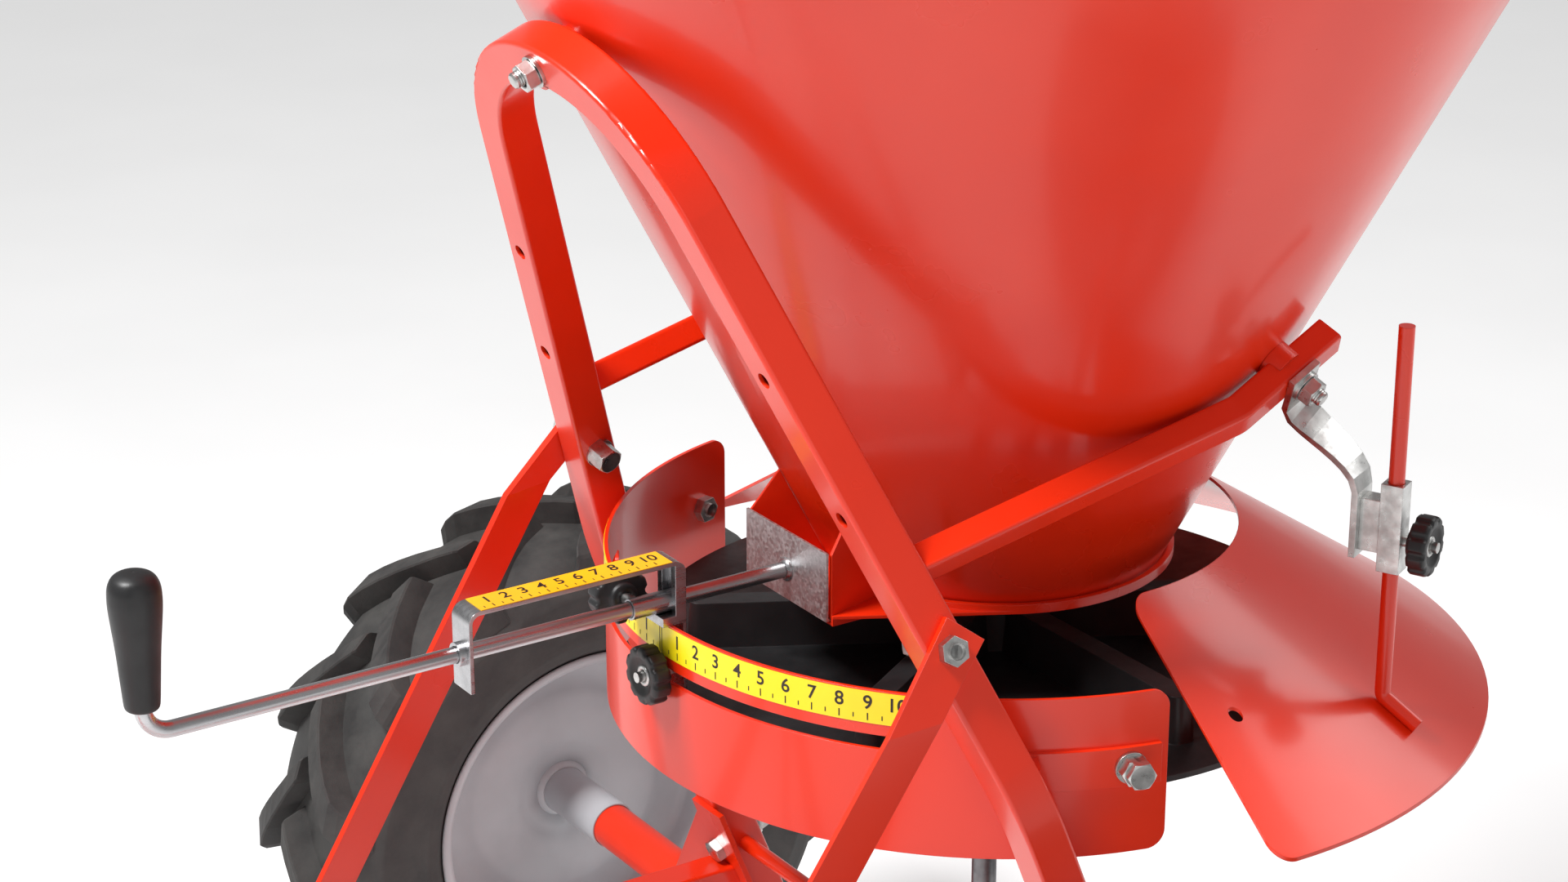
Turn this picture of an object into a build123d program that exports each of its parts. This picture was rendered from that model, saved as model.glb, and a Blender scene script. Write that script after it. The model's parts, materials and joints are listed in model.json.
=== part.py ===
"""Tow behind cone spreader: a steel cone hopper on a leaning hoop frame and two ground wheels.

The right wheel turns the axle, a crown gear and pinion turn the spreading disc, and a rod sets the outlet.
Row frame: +X forward along the drawbar, +Y to the cart's left, +Z up, ground at Z = 0, millimetres.
Most places are measured from the hopper's axis and from the guard band's top edge, through at() and polar().
"""

import os
from math import acos, atan2, cos, hypot, pi, radians, sin, sqrt

from build123d import *

os.makedirs("parts", exist_ok=True)

# ---------------------------------------------------------------- driving dimensions
HOPPER_X = -462.0  # hopper, disc and axle stand on this line
BAND_TOP = 808.0  # height of the guard band's top edge
AXLE_Z = 300.0
AXLE_RISE = AXLE_Z - BAND_TOP  # axle measured from the band's top edge
SIDES = {"left": 1, "right": -1}

CONE_FOOT_R = 133.7  # outer radius level with the band's top edge
CONE_SLOPE = 0.511  # radius gained per unit of height
CONE_TOP = 619.0
CONE_BOTTOM = -2.3
SHEET = 2.5
RIM_WIRE_R = 6.0

HOOP_TUBE = 32.0
TUBE_WALL = 3.0
TUBE_CORNER = 3.0
HOOP_LEAN = radians(21.96)
LEG_BASE_Y = 254.3  # leg centre in the hoop's plane at zero rise
LEG_FLARE = 0.3411  # leg spread per unit of rise
LEG_Y = 282.0
APEX_R = 134.0
KNEE_R = 200.0

BAND_R = 300.0
BAND_WALL = 3.0
BAND_HEIGHT = 124.2
BAND_HALF = 78.24  # degrees each side of the front
SLOT_TOP = -34.4
SLOT_BOTTOM = -45.3
SLOT_HALF = 43.0
BOLT_LEVEL = -55.0
BAND_BOLT_AZIMUTH = 72.5
SCALE_STEP = 4.087  # degrees from one number to the next
SCALE_THICK = 0.5

ARM_TUBE = 22.0
ARM_WALL = 2.0
AXLE_TUBE_R = 21.2
AXLE_BORE_R = 18.2
AXLE_R = 12.5
WHEEL_Y = 690.0
TYRE_R = 300.0
RIM_R = 167.0
LUGS = 14

DISC_R = 274.0
SHAFT_R = 10.0
CROWN_TEETH = 40
PINION_TEETH = 10
CROWN_R = 60.0
PINION_R = 15.0

ROD_R = 6.0
ROD_LEVEL = 15.6
GRIP_X = 706.0
GATE_X = 189.0
GATE_HALF = 54.0
NOSE_X = 187.0
NOSE_HALF = 57.0
KNOB_LEVEL = -40.0

SKIRT_INNER_R = 189.0
SKIRT_OUTER_R = 386.0
SKIRT_INNER_Z = 20.7
SKIRT_OUTER_Z = -105.9
SKIRT_START = 85.0
GUIDE_AZIMUTH = 116.3
GUIDE_R = 325.0
GUIDE_BOTTOM = 41.0
GUIDE_TOP = 109.0

BAR_TUBE = 32.0
TONGUE = 40.0
TONGUE_RISE = -330.0
EYE_X = 1355.0
EYE_BORE_R = 13.0
STAND_X = 1200.0
STAND_PIVOT = -370.0

M12_R = 6.0
M12_HOLE_R = 6.4
M12_ACROSS = 19.0
M12_HEAD = 7.5
M12_NUT = 10.0
WASHER_R = 12.0
WASHER = 2.5
FIT = 0.05  # radial running clearance
GAP = 0.4  # clearance between parts that move past each other


# ---------------------------------------------------------------- places
def at(x, y, z):
    """Point measured from the hopper's axis and the band's top edge."""
    return Vector(HOPPER_X + x, y, BAND_TOP + z)


def polar(radius, azimuth, z):
    """Point at a radius and azimuth about the hopper's axis."""
    angle = radians(azimuth)
    return at(radius * cos(angle), radius * sin(angle), z)


def radial_plane(radius, azimuth, z, outward=1):
    """Plane facing away from the hopper's axis, or towards it."""
    angle = radians(azimuth)
    normal = Vector(cos(angle), sin(angle), 0) * outward
    return Plane(origin=polar(radius, azimuth, z), x_dir=(0, 0, 1), z_dir=normal)


def across(y, rise=0.0, x=0.0):
    """Plane at a distance along the axle, looking along +Y."""
    return Plane(origin=at(x, y, AXLE_RISE + rise), x_dir=(1, 0, 0), z_dir=(0, 1, 0))


def cone_radius(z):
    """Outer radius of the hopper's cone at a height."""
    return CONE_FOOT_R + CONE_SLOPE * z


HOPPER_AXIS = Axis(at(0, 0, 0), (0, 0, 1))
AXLE_AXIS = Axis(at(0, 0, AXLE_RISE), (0, 1, 0))
SECTION = Plane(origin=at(0, 0, 0), x_dir=(1, 0, 0), z_dir=(0, -1, 0))  # radius right, height up
HOOP_NORMAL = Vector(cos(HOOP_LEAN), 0, -sin(HOOP_LEAN))
HOOP_UP = Vector(sin(HOOP_LEAN), 0, cos(HOOP_LEAN))
HOOP = Plane(origin=at(205.4, 0, 6.0), x_dir=(0, 1, 0), z_dir=HOOP_NORMAL)


def on_hoop(across, rise, out=0.0):
    """Point in the hoop's middle plane, moved out along its normal."""
    return HOOP.origin + Vector(0, 1, 0) * across + HOOP_UP * rise + HOOP_NORMAL * out


def leg_half(rise):
    """Half the distance between the legs' centres at a rise above the knee."""
    return LEG_BASE_Y - LEG_FLARE * rise


# ---------------------------------------------------------------- shapes used many times
def save(piece, name):
    """Label a finished piece and write it."""
    piece.label = name
    export_step(piece, f"parts/{name}.step")


def bar(plane, radius, length, bore=0.0, mode=Mode.ADD):
    """Round bar or ring from a plane along its normal."""
    with BuildSketch(plane) as section:
        Circle(radius)
        if bore > 0:
            Circle(bore, mode=Mode.SUBTRACT)
    extrude(section.sketch, amount=length, mode=mode)


def block(plane, width, depth, height, mode=Mode.ADD):
    """Rectangular block centred on a plane, along its normal."""
    with BuildSketch(plane) as section:
        Rectangle(width, depth)
    extrude(section.sketch, amount=height, mode=mode)


def hexagon(plane, across, length, bore=0.0):
    """Hexagonal prism with an optional bore."""
    with BuildSketch(plane) as section:
        RegularPolygon(across / 2, 6, major_radius=False)
        if bore > 0:
            Circle(bore, mode=Mode.SUBTRACT)
    extrude(section.sketch, amount=length)


def ring(profile, axis, arc=360.0, mode=Mode.ADD):
    """Revolve a closed list of radius and height points about the hopper's axis."""
    with BuildSketch(SECTION) as section:
        with BuildLine():
            Polyline(*profile, close=True)
        make_face()
    revolve(section.sketch, axis=axis, revolution_arc=arc, mode=mode)


def square_tube(start, direction, outward, path, size, wall):
    """Sweep a hollow square section with rounded corners along a path."""
    with BuildSketch(Plane(origin=start, x_dir=outward, z_dir=direction)) as section:
        RectangleRounded(size, size, TUBE_CORNER)
        if wall > 0:
            RectangleRounded(size - 2 * wall, size - 2 * wall, TUBE_CORNER / 2, mode=Mode.SUBTRACT)
    sweep(section.sketch, path=path)


def strip(stations, width, thickness):
    """Flat bar through stations, each a centre, the way along and the way across."""
    sections = []
    for centre, along, across in stations:
        with BuildSketch(Plane(origin=centre, x_dir=across, z_dir=along)) as section:
            Rectangle(width, thickness)
        sections.append(section.sketch)
    loft(sections=sections, ruled=True)


def fluted_disc(plane, radius, height, flutes):
    """Round knob body with scalloped sides."""
    with BuildSketch(plane) as section:
        Circle(radius)
        with PolarLocations(radius + 1.5, flutes):
            Circle(3.6, mode=Mode.SUBTRACT)
    extrude(section.sketch, amount=height)


class Fastening:
    """A bolt: the plane under its head, the grip to its nut, and its free end."""

    def __init__(self, origin, head_normal, grip):
        self.head = Plane(origin=origin, z_dir=head_normal)
        self.grip = grip
        way = Vector(head_normal)
        self.nut = Plane(origin=origin - way * (grip + WASHER), z_dir=way * -1)

    def drill(self):
        """Cut the clearance hole through the piece being built."""
        bar(self.head.offset(12), M12_HOLE_R, -(self.grip + 24), mode=Mode.SUBTRACT)

    def bolt(self):
        """Add the head and shank."""
        hexagon(self.head, M12_ACROSS, M12_HEAD)
        bar(self.head, M12_R, -(self.grip + WASHER + M12_NUT + 6))


# ---------------------------------------------------------------- fastening stations
ARM_TURN = 0.5  # sine of the arm's roll onto the cone
ARM_BOLT = {}
BRACE_BOLT = {}
BAND_BOLT = {}
GUSSET_BOLT = {}
FOOT_BOLT = {}
ARM_POINTS = [(225, 220, 107), (-41, 232.5, 164), (-131, 224.4, 204)]
BRACE_RISE = 45.3
BRACE_THICK = 5.5
BRACE_LIFT = 0.8  # weld gap that lets the flat brace clear the side bar
GUSSET_RISE = -405.4
GUSSET_THICK = 5.0
STRAP_THICK = 5.0
STRAP_LIFT = 0.4  # the strap stands this far off the painted arm


def arm_point(index, side):
    """Corner of the side arm's centreline."""
    x, y, z = ARM_POINTS[index]
    return at(x, side * y, z)


def rolled_normal(along, side):
    """The way the arm's outer face looks, leaned down onto the cone."""
    level = Vector(along.Y, -along.X, 0).normalized() * side
    if level.Y * side < 0:
        level = level * -1
    upright = level.cross(along) * side
    if upright.Z < 0:
        upright = upright * -1
    return level * sqrt(1 - ARM_TURN**2) - upright * ARM_TURN


GUSSET_BOLT_LIFT = 5.0  # keeps the heads above the side bars


def leg_outward(side):
    """The way a leg's outer side face looks."""
    angle = atan2(LEG_FLARE, 1)
    return Vector(0, side * cos(angle), 0) + HOOP_UP * sin(angle)


for side in SIDES.values():
    rear = (arm_point(2, side) - arm_point(1, side)).normalized()
    normal = rolled_normal(rear, side)
    centre = arm_point(1, side) + rear * 54
    arm_grip = 19.5 + ARM_TUBE / 2 + STRAP_LIFT + STRAP_THICK
    ARM_BOLT[side] = Fastening(centre - normal * 19.5, normal * -1, arm_grip)
    leg = on_hoop(side * leg_half(BRACE_RISE), BRACE_RISE)
    outer = leg_outward(side)
    BRACE_BOLT[side] = Fastening(leg + outer * (HOOP_TUBE / 2 + BRACE_THICK), outer, HOOP_TUBE + BRACE_THICK)
    under_head = radial_plane(BAND_R - BAND_WALL - 0.3, side * BAND_BOLT_AZIMUTH, BOLT_LEVEL, -1)
    BAND_BOLT[side] = Fastening(under_head.origin, under_head.z_dir, BAND_WALL + 0.3 + 4.0 + 0.2)
    plate_front = on_hoop(side * LEG_Y, GUSSET_RISE + GUSSET_BOLT_LIFT, HOOP_TUBE / 2 + GUSSET_THICK)
    GUSSET_BOLT[side] = Fastening(plate_front, HOOP_NORMAL, HOOP_TUBE + GUSSET_THICK)

APEX_BOLT = Fastening(on_hoop(0, 462, HOOP_TUBE / 2 - 41), HOOP_NORMAL * -1, 41)
BAR_FRONT_Y = TONGUE / 2 + BAR_TUBE / 2 + 0.3  # side bars' centres where they flank the tongue
TONGUE_HEAD_Y = BAR_FRONT_Y + BAR_TUBE / 2 + 0.4
TONGUE_BOLTS = [Fastening(at(x, TONGUE_HEAD_Y, TONGUE_RISE), (0, 1, 0), 2 * TONGUE_HEAD_Y) for x in (1075, 1125)]

# ---------------------------------------------------------------- leaning hoop
foot_rise = (AXLE_RISE - 6.0) / cos(HOOP_LEAN)
knee_rise = (LEG_BASE_Y - LEG_Y) / LEG_FLARE
with BuildLine(HOOP) as hoop_line:
    FilletPolyline(
        (LEG_Y, foot_rise),
        (LEG_Y, knee_rise),
        (0, LEG_BASE_Y / LEG_FLARE),
        (-LEG_Y, knee_rise),
        (-LEG_Y, foot_rise),
        radius=[KNEE_R, APEX_R, KNEE_R],
    )

with BuildPart() as hoop_outline:
    square_tube(on_hoop(LEG_Y, foot_rise), HOOP_UP, HOOP_NORMAL, hoop_line.line, HOOP_TUBE, 0)

with BuildPart() as front_hoop:
    square_tube(on_hoop(LEG_Y, foot_rise), HOOP_UP, HOOP_NORMAL, hoop_line.line, HOOP_TUBE, TUBE_WALL)
    bar(across(-500), AXLE_TUBE_R, 1000, mode=Mode.SUBTRACT)
    for side in SIDES.values():
        BRACE_BOLT[side].drill()
        GUSSET_BOLT[side].drill()
        for rise in (155.3, 260.1):
            spare = Plane(origin=on_hoop(side * leg_half(rise), rise, 20), z_dir=HOOP_NORMAL)
            bar(spare, 6.0, -40, mode=Mode.SUBTRACT)
    APEX_BOLT.drill()
save(front_hoop.part, "front_hoop")

# ---------------------------------------------------------------- hopper
with BuildPart() as cone_solid:
    lower = [(0, CONE_BOTTOM), (cone_radius(CONE_BOTTOM), CONE_BOTTOM)]
    upper = [(cone_radius(CONE_TOP), CONE_TOP), (0, CONE_TOP)]
    ring(lower + upper, HOPPER_AXIS)

with BuildPart() as hopper_cone:
    wall = SHEET * sqrt(1 + CONE_SLOPE**2)
    ring(
        [
            (cone_radius(CONE_BOTTOM) - wall, CONE_BOTTOM),
            (137.5, CONE_BOTTOM),
            (137.5, CONE_BOTTOM + 1.8),
            (cone_radius(CONE_BOTTOM + 1.8), CONE_BOTTOM + 1.8),
            (cone_radius(CONE_TOP), CONE_TOP),
            (cone_radius(CONE_TOP) - wall, CONE_TOP),
        ],
        HOPPER_AXIS,
    )
    APEX_BOLT.drill()
    for side in SIDES.values():
        ARM_BOLT[side].drill()
save(hopper_cone.part, "hopper_cone")

with BuildPart() as hopper_rim:
    with BuildSketch(SECTION) as wire:
        with Locations((cone_radius(CONE_TOP) + RIM_WIRE_R, CONE_TOP - 1)):
            Circle(RIM_WIRE_R)
    revolve(wire.sketch, axis=HOPPER_AXIS)
    add(cone_solid.part, mode=Mode.SUBTRACT)
save(hopper_rim.part, "hopper_rim")

# ---------------------------------------------------------------- side arms from the hoop to the back of the cone
with BuildPart() as arm_outlines:
    for side in SIDES.values():
        front = (arm_point(1, side) - arm_point(0, side)).normalized()
        start = arm_point(0, side) - front * 20
        with BuildLine() as arm_line:
            FilletPolyline(start, arm_point(1, side), arm_point(2, side), radius=30)
        square_tube(start, front, rolled_normal(front, side), arm_line.line, ARM_TUBE, 0)

for name, side in SIDES.items():
    front = (arm_point(1, side) - arm_point(0, side)).normalized()
    start = arm_point(0, side) - front * 20
    with BuildLine() as arm_line:
        FilletPolyline(start, arm_point(1, side), arm_point(2, side), radius=30)
    with BuildPart() as side_arm:
        square_tube(start, front, rolled_normal(front, side), arm_line.line, ARM_TUBE, ARM_WALL)
        add(hoop_outline.part, mode=Mode.SUBTRACT)
        ARM_BOLT[side].drill()
    save(side_arm.part.solids().sort_by(SortBy.VOLUME)[-1], f"side_arm_{name}")

# Bosses fill the narrow gaps between the cone and the tubes bolted to it, outside and inside.
with BuildPart() as hopper_bosses:
    for fastening in (APEX_BOLT, *ARM_BOLT.values()):
        bar(fastening.head, 15.0, -(19.5 if fastening is not APEX_BOLT else 41.0), bore=M12_HOLE_R)
    add(hopper_cone.part, mode=Mode.SUBTRACT)
    add(hoop_outline.part, mode=Mode.SUBTRACT)
    add(arm_outlines.part, mode=Mode.SUBTRACT)
bosses = [piece for piece in hopper_bosses.part.solids() if piece.volume > 30]
save(Compound(children=bosses), "hopper_bosses")

# ---------------------------------------------------------------- gusset plates and axle struts
GUSSET_Y = 273.0
with BuildPart() as gusset_plates:
    for side in SIDES.values():
        front = Plane(on_hoop(side * GUSSET_Y, GUSSET_RISE, HOOP_TUBE / 2), x_dir=(0, 1, 0), z_dir=HOOP_NORMAL)
        block(front, 44, 108, GUSSET_THICK)
        GUSSET_BOLT[side].drill()
save(gusset_plates.part, "gusset_plates")

STRUT_WIDTH = 28.0
struts = []
for side in SIDES.values():
    with BuildPart() as axle_strut:
        middle = HOOP_TUBE / 2 + GUSSET_THICK / 2
        top = on_hoop(side * 280, -369, middle)
        foot = on_hoop(side * 441, -549, middle)
        along = (foot - top).normalized()
        flat = along.cross(HOOP_NORMAL)
        strip([(top, along, flat), (foot, along, flat)], STRUT_WIDTH, GUSSET_THICK)
        add(gusset_plates.part, mode=Mode.SUBTRACT)
        bar(across(-500), AXLE_TUBE_R, 1000, mode=Mode.SUBTRACT)
    struts.append(axle_strut.part.solids().sort_by(SortBy.VOLUME)[-1])
save(Compound(children=struts), "axle_struts")

with BuildPart() as cross_rod:
    bar(Plane(origin=at(57, -LEG_Y + HOOP_TUBE / 2, -367.5), z_dir=(0, 1, 0)), 6.5, 2 * (LEG_Y - HOOP_TUBE / 2))
save(cross_rod.part, "cross_rod")

# ---------------------------------------------------------------- drawbar
BAR_POINTS = [
    (34.4, 286.7, -407),
    (545, 226.1, -368.2),
    (1050, BAR_FRONT_Y, TONGUE_RISE),
    (1150, BAR_FRONT_Y, TONGUE_RISE),
]


def bar_direction(side):
    """Way of the side bar's rear stretch."""
    x0, y0, z0 = BAR_POINTS[0]
    x1, y1, z1 = BAR_POINTS[1]
    return (at(x1, side * y1, z1) - at(x0, side * y0, z0)).normalized()


def bar_outward(side):
    """The way the side bar's outer face looks along that stretch."""
    along = bar_direction(side)
    return Vector(along.Y, -along.X, 0).normalized() * -side


def brace_ends(side):
    """Bend and foot of the brace on its inner face, and the lower plate's normal."""
    upper_normal = leg_outward(side)
    bolt_point = on_hoop(side * leg_half(BRACE_RISE), BRACE_RISE) + upper_normal * (HOOP_TUBE / 2)
    knee = at(262, 0, 8)
    offset = knee - bolt_point
    knee_y = -(offset.X * upper_normal.X + offset.Z * upper_normal.Z) / upper_normal.Y
    knee = Vector(knee.X, bolt_point.Y + knee_y, knee.Z)
    x0, y0, z0 = BAR_POINTS[0]
    bar_start = at(x0, side * y0, z0)
    foot = bar_start + bar_direction(side) * 476 + bar_outward(side) * (BAR_TUBE / 2 + BRACE_LIFT)
    along = (foot - knee).normalized()
    lower_normal = (bar_outward(side) - along * bar_outward(side).dot(along)).normalized()
    return bolt_point, knee, foot, upper_normal, lower_normal


for side in SIDES.values():
    _, _, foot, _, lower_normal = brace_ends(side)
    foot_grip = BRACE_THICK + BRACE_LIFT + BAR_TUBE + 0.4
    FOOT_BOLT[side] = Fastening(foot + lower_normal * BRACE_THICK, lower_normal, foot_grip)

for name, side in SIDES.items():
    start = at(BAR_POINTS[0][0], side * BAR_POINTS[0][1], BAR_POINTS[0][2])
    corners = [at(x, side * y, z) for x, y, z in BAR_POINTS]
    with BuildLine() as bar_line:
        FilletPolyline(*corners, radius=60)
    with BuildPart() as side_bar:
        square_tube(start, bar_direction(side), bar_outward(side), bar_line.line, BAR_TUBE, TUBE_WALL)
        behind = Plane(on_hoop(side * LEG_Y, GUSSET_RISE, HOOP_TUBE / 2 + GUSSET_THICK), z_dir=HOOP_NORMAL)
        block(behind, 300, 300, -80, mode=Mode.SUBTRACT)
        FOOT_BOLT[side].drill()
        for fastening in TONGUE_BOLTS:
            fastening.drill()
    save(side_bar.part.solids().sort_by(SortBy.VOLUME)[-1], f"side_bar_{name}")


def cross_cut(centre, width_way, thick_way, half_width, thickness):
    """Four corners of a flat bar's end, inner face first."""
    outer = centre + thick_way * thickness
    aside = width_way * half_width
    return [centre - aside, centre + aside, outer + aside, outer - aside]


BRACE_HALF = 16.5
for name, side in SIDES.items():
    bolt_point, knee, foot, upper_normal, lower_normal = brace_ends(side)
    upper_along = (knee - bolt_point).normalized()
    lower_along = (foot - knee).normalized()
    crease = upper_normal.cross(lower_normal).normalized()
    mitre = upper_normal + lower_normal
    mitre = mitre.normalized() / mitre.normalized().dot(upper_normal)
    crease_half = BRACE_HALF / crease.cross(lower_along).length
    if crease.dot(upper_along.cross(upper_normal)) < 0:
        crease = crease * -1
    upper_across = upper_along.cross(upper_normal)
    lower_across = lower_along.cross(lower_normal)
    sections = [
        cross_cut(bolt_point - upper_along * 19, upper_across, upper_normal, BRACE_HALF, BRACE_THICK),
        cross_cut(knee, crease, mitre, crease_half, BRACE_THICK),
        cross_cut(foot + lower_along * 18, lower_across, lower_normal, BRACE_HALF, BRACE_THICK),
    ]
    faces = [Face(Wire.make_polygon(corners, close=True)) for corners in sections]
    with BuildPart() as brace:
        loft(sections=faces, ruled=True)
        BRACE_BOLT[side].drill()
        FOOT_BOLT[side].drill()
    save(brace.part, f"brace_{name}")

TONGUE_START = 1040.0
TONGUE_END = 1323.0
with BuildPart() as drawbar_tongue:
    start = at(TONGUE_START, 0, TONGUE_RISE)
    with BuildLine() as tongue_line:
        Line(start, at(TONGUE_END, 0, TONGUE_RISE))
    square_tube(start, Vector(1, 0, 0), Vector(0, 1, 0), tongue_line.line, TONGUE, TUBE_WALL)
    for fastening in TONGUE_BOLTS:
        fastening.drill()
save(drawbar_tongue.part, "drawbar_tongue")

EYE_R = 31.0
EYE_THICK = 20.0
with BuildPart() as towing_eye:
    inside = TONGUE - 2 * TUBE_WALL - 1.2
    block(Plane(origin=at(TONGUE_END - 45, 0, TONGUE_RISE), z_dir=(1, 0, 0)), inside, inside, 45)
    block(Plane(origin=at(TONGUE_END, 0, TONGUE_RISE), x_dir=(0, 1, 0), z_dir=(1, 0, 0)), 44, EYE_THICK, 20)
    bar(Plane(origin=at(EYE_X, 0, TONGUE_RISE - EYE_THICK / 2)), EYE_R, EYE_THICK)
    bar(Plane(origin=at(EYE_X, 0, TONGUE_RISE - 30)), EYE_BORE_R, 60, mode=Mode.SUBTRACT)
save(towing_eye.part, "towing_eye")

# ---------------------------------------------------------------- parking stand
CHEEK = 6.0
STAND_TUBE = 28.0
STAND_PIN_R = 7.0
with BuildPart() as stand_bracket:
    for side in SIDES.values():
        plate = Plane(origin=at(STAND_X, side * TONGUE / 2, 0), x_dir=(1, 0, 0), z_dir=(0, side, 0))
        with BuildSketch(plate) as cheek:
            with BuildLine():
                top = TONGUE_RISE * -side
                low = (STAND_PIVOT - 6) * -side
                Polyline((-30, top), (30, top), (14, low), (-14, low), close=True)
            make_face()
            with Locations((0, STAND_PIVOT * -side)):
                Circle(18)
        extrude(cheek.sketch, amount=CHEEK)
    bar(Plane(origin=at(STAND_X, -40, STAND_PIVOT), z_dir=(0, 1, 0)), STAND_PIN_R, 80, mode=Mode.SUBTRACT)
save(stand_bracket.part, "stand_bracket")

with BuildPart() as stand_pin:
    bar(Plane(origin=at(STAND_X, -32, STAND_PIVOT), z_dir=(0, 1, 0)), STAND_PIN_R, 64)
    bar(Plane(origin=at(STAND_X, 26, STAND_PIVOT), z_dir=(0, 1, 0)), 11, 5)
    bar(Plane(origin=at(STAND_X, -31, STAND_PIVOT), z_dir=(0, 1, 0)), 11, 5)
save(stand_pin.part, "stand_pin")

with BuildPart() as stand_leg:
    ground = -BAND_TOP
    block(Plane(origin=at(STAND_X, 0, ground)), 100, 100, 5)
    block(Plane(origin=at(STAND_X, 0, ground + 5)), STAND_TUBE, STAND_TUBE, STAND_PIVOT - ground - 5)
    block(Plane(origin=at(STAND_X, 0, ground + 5)), STAND_TUBE - 5, STAND_TUBE - 5, 380, mode=Mode.SUBTRACT)
    bar(Plane(origin=at(STAND_X, -STAND_TUBE / 2, STAND_PIVOT), z_dir=(0, 1, 0)), STAND_TUBE / 2, STAND_TUBE)
    bar(Plane(origin=at(STAND_X, -40, STAND_PIVOT), z_dir=(0, 1, 0)), STAND_PIN_R + FIT, 80, mode=Mode.SUBTRACT)
save(stand_leg.part, "stand_leg")

# ---------------------------------------------------------------- axle housings and gearbox
GEARBOX_X = 75.0
GEARBOX_Y = 56.0
GEARBOX_LOW = -80.0
GEARBOX_HIGH = 100.0
GEARBOX_BOSS = 66.0
HOUSING_START = 58.0
HOUSING_END = 632.0
BUSH_OUTER_R = 16.0
SHAFT_TOP_BOSS = 110.0

for name, side in SIDES.items():
    with BuildPart() as axle_housing:
        bar(across(side * HOUSING_START), AXLE_TUBE_R, side * (HOUSING_END - HOUSING_START), bore=AXLE_BORE_R)
    save(axle_housing.part, f"axle_housing_{name}")

with BuildPart() as gearbox_housing:
    block(Plane(at(0, 0, AXLE_RISE + GEARBOX_LOW)), 2 * GEARBOX_X, 2 * GEARBOX_Y, GEARBOX_HIGH - GEARBOX_LOW)
    fillet(gearbox_housing.edges().filter_by(Axis.Y), radius=12)
    bar(across(-GEARBOX_BOSS), 32, 2 * GEARBOX_BOSS)
    bar(Plane(at(0, 0, AXLE_RISE + GEARBOX_HIGH)), 26, SHAFT_TOP_BOSS - GEARBOX_HIGH)
    cavity = Plane(origin=at(-GEARBOX_X + 8, 0, AXLE_RISE + 8), x_dir=(0, 1, 0), z_dir=(1, 0, 0))
    block(cavity, 2 * GEARBOX_Y - 26, 152, 2 * GEARBOX_X, mode=Mode.SUBTRACT)
    bar(across(-GEARBOX_BOSS - 5), AXLE_TUBE_R, 2 * GEARBOX_BOSS + 10, mode=Mode.SUBTRACT)
    bar(Plane(at(0, 0, AXLE_RISE + 60)), BUSH_OUTER_R, 80, mode=Mode.SUBTRACT)
    for y in (-49.5, 49.5):
        for rise in (-60, 10, 80):
            mouth = Plane(origin=at(GEARBOX_X, y, AXLE_RISE + rise), z_dir=(1, 0, 0))
            bar(mouth, 3.2, -18, mode=Mode.SUBTRACT)
save(gearbox_housing.part, "gearbox_housing")

COVER = 6.0
with BuildPart() as gearbox_cover:
    seat_rise = AXLE_RISE + (GEARBOX_LOW + GEARBOX_HIGH) / 2
    seat = Plane(origin=at(GEARBOX_X, 0, seat_rise), x_dir=(0, 1, 0), z_dir=(1, 0, 0))
    block(seat, 2 * GEARBOX_Y, GEARBOX_HIGH - GEARBOX_LOW, COVER)
    fillet(gearbox_cover.edges().filter_by(Axis.X), radius=10)
    for y in (-49.5, 49.5):
        for rise in (-60, 10, 80):
            mouth = Plane(origin=at(GEARBOX_X - 1, y, AXLE_RISE + rise), z_dir=(1, 0, 0))
            bar(mouth, 3.2, COVER + 2, mode=Mode.SUBTRACT)
save(gearbox_cover.part, "gearbox_cover")

with BuildPart() as gearbox_screws:
    for y in (-49.5, 49.5):
        for rise in (-60, 10, 80):
            seat = Plane(origin=at(GEARBOX_X + COVER, y, AXLE_RISE + rise), z_dir=(1, 0, 0))
            hexagon(seat, 10, 4)
            bar(seat, 3.0, -20)
save(gearbox_screws.part, "gearbox_screws")

with BuildPart() as bronze_bushes:
    for side in SIDES.values():
        bar(across(side * 43), AXLE_TUBE_R, side * 15, bore=AXLE_R + FIT)
        bar(across(side * (HOUSING_END - 20)), AXLE_BORE_R, side * 20, bore=AXLE_R + FIT)
    bar(Plane(at(0, 0, AXLE_RISE + 84)), BUSH_OUTER_R, SHAFT_TOP_BOSS - 84, bore=SHAFT_R + FIT)
save(bronze_bushes.part, "bronze_bushes")

# ---------------------------------------------------------------- bevel gears, about the point where their axes cross
TOOTH_TALL = 1.7
ROOT_DEEP = 2.3
TOOTH_THICK = 3.6
FACE_WIDTH = 0.25  # share of the cone distance that the teeth cover
GEAR_CENTRE = at(0, 0, AXLE_RISE)


def tooth(pitch_radius, pitch_offset, turn, shrink, axis_way, zero_way):
    """Cross-section of one straight bevel tooth, shrunk towards the point where the axes cross."""
    side_way = axis_way.cross(zero_way)
    spoke = zero_way * cos(turn) + side_way * sin(turn)
    edge = zero_way * -sin(turn) + side_way * cos(turn)
    slant = atan2(pitch_radius, pitch_offset)
    rise = (spoke * cos(slant) - axis_way * sin(slant)) * (1 if pitch_offset > 0 else -1)
    foot = spoke * pitch_radius + axis_way * pitch_offset
    points = []
    for height, half in ((-ROOT_DEEP - 0.6, 0.72), (TOOTH_TALL, 0.30)):
        for sign in (-1, 1) if height < 0 else (1, -1):
            points.append(GEAR_CENTRE + (foot + rise * height + edge * sign * half * TOOTH_THICK) * shrink)
    return Face(Wire.make_polygon(points, close=True))


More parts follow.
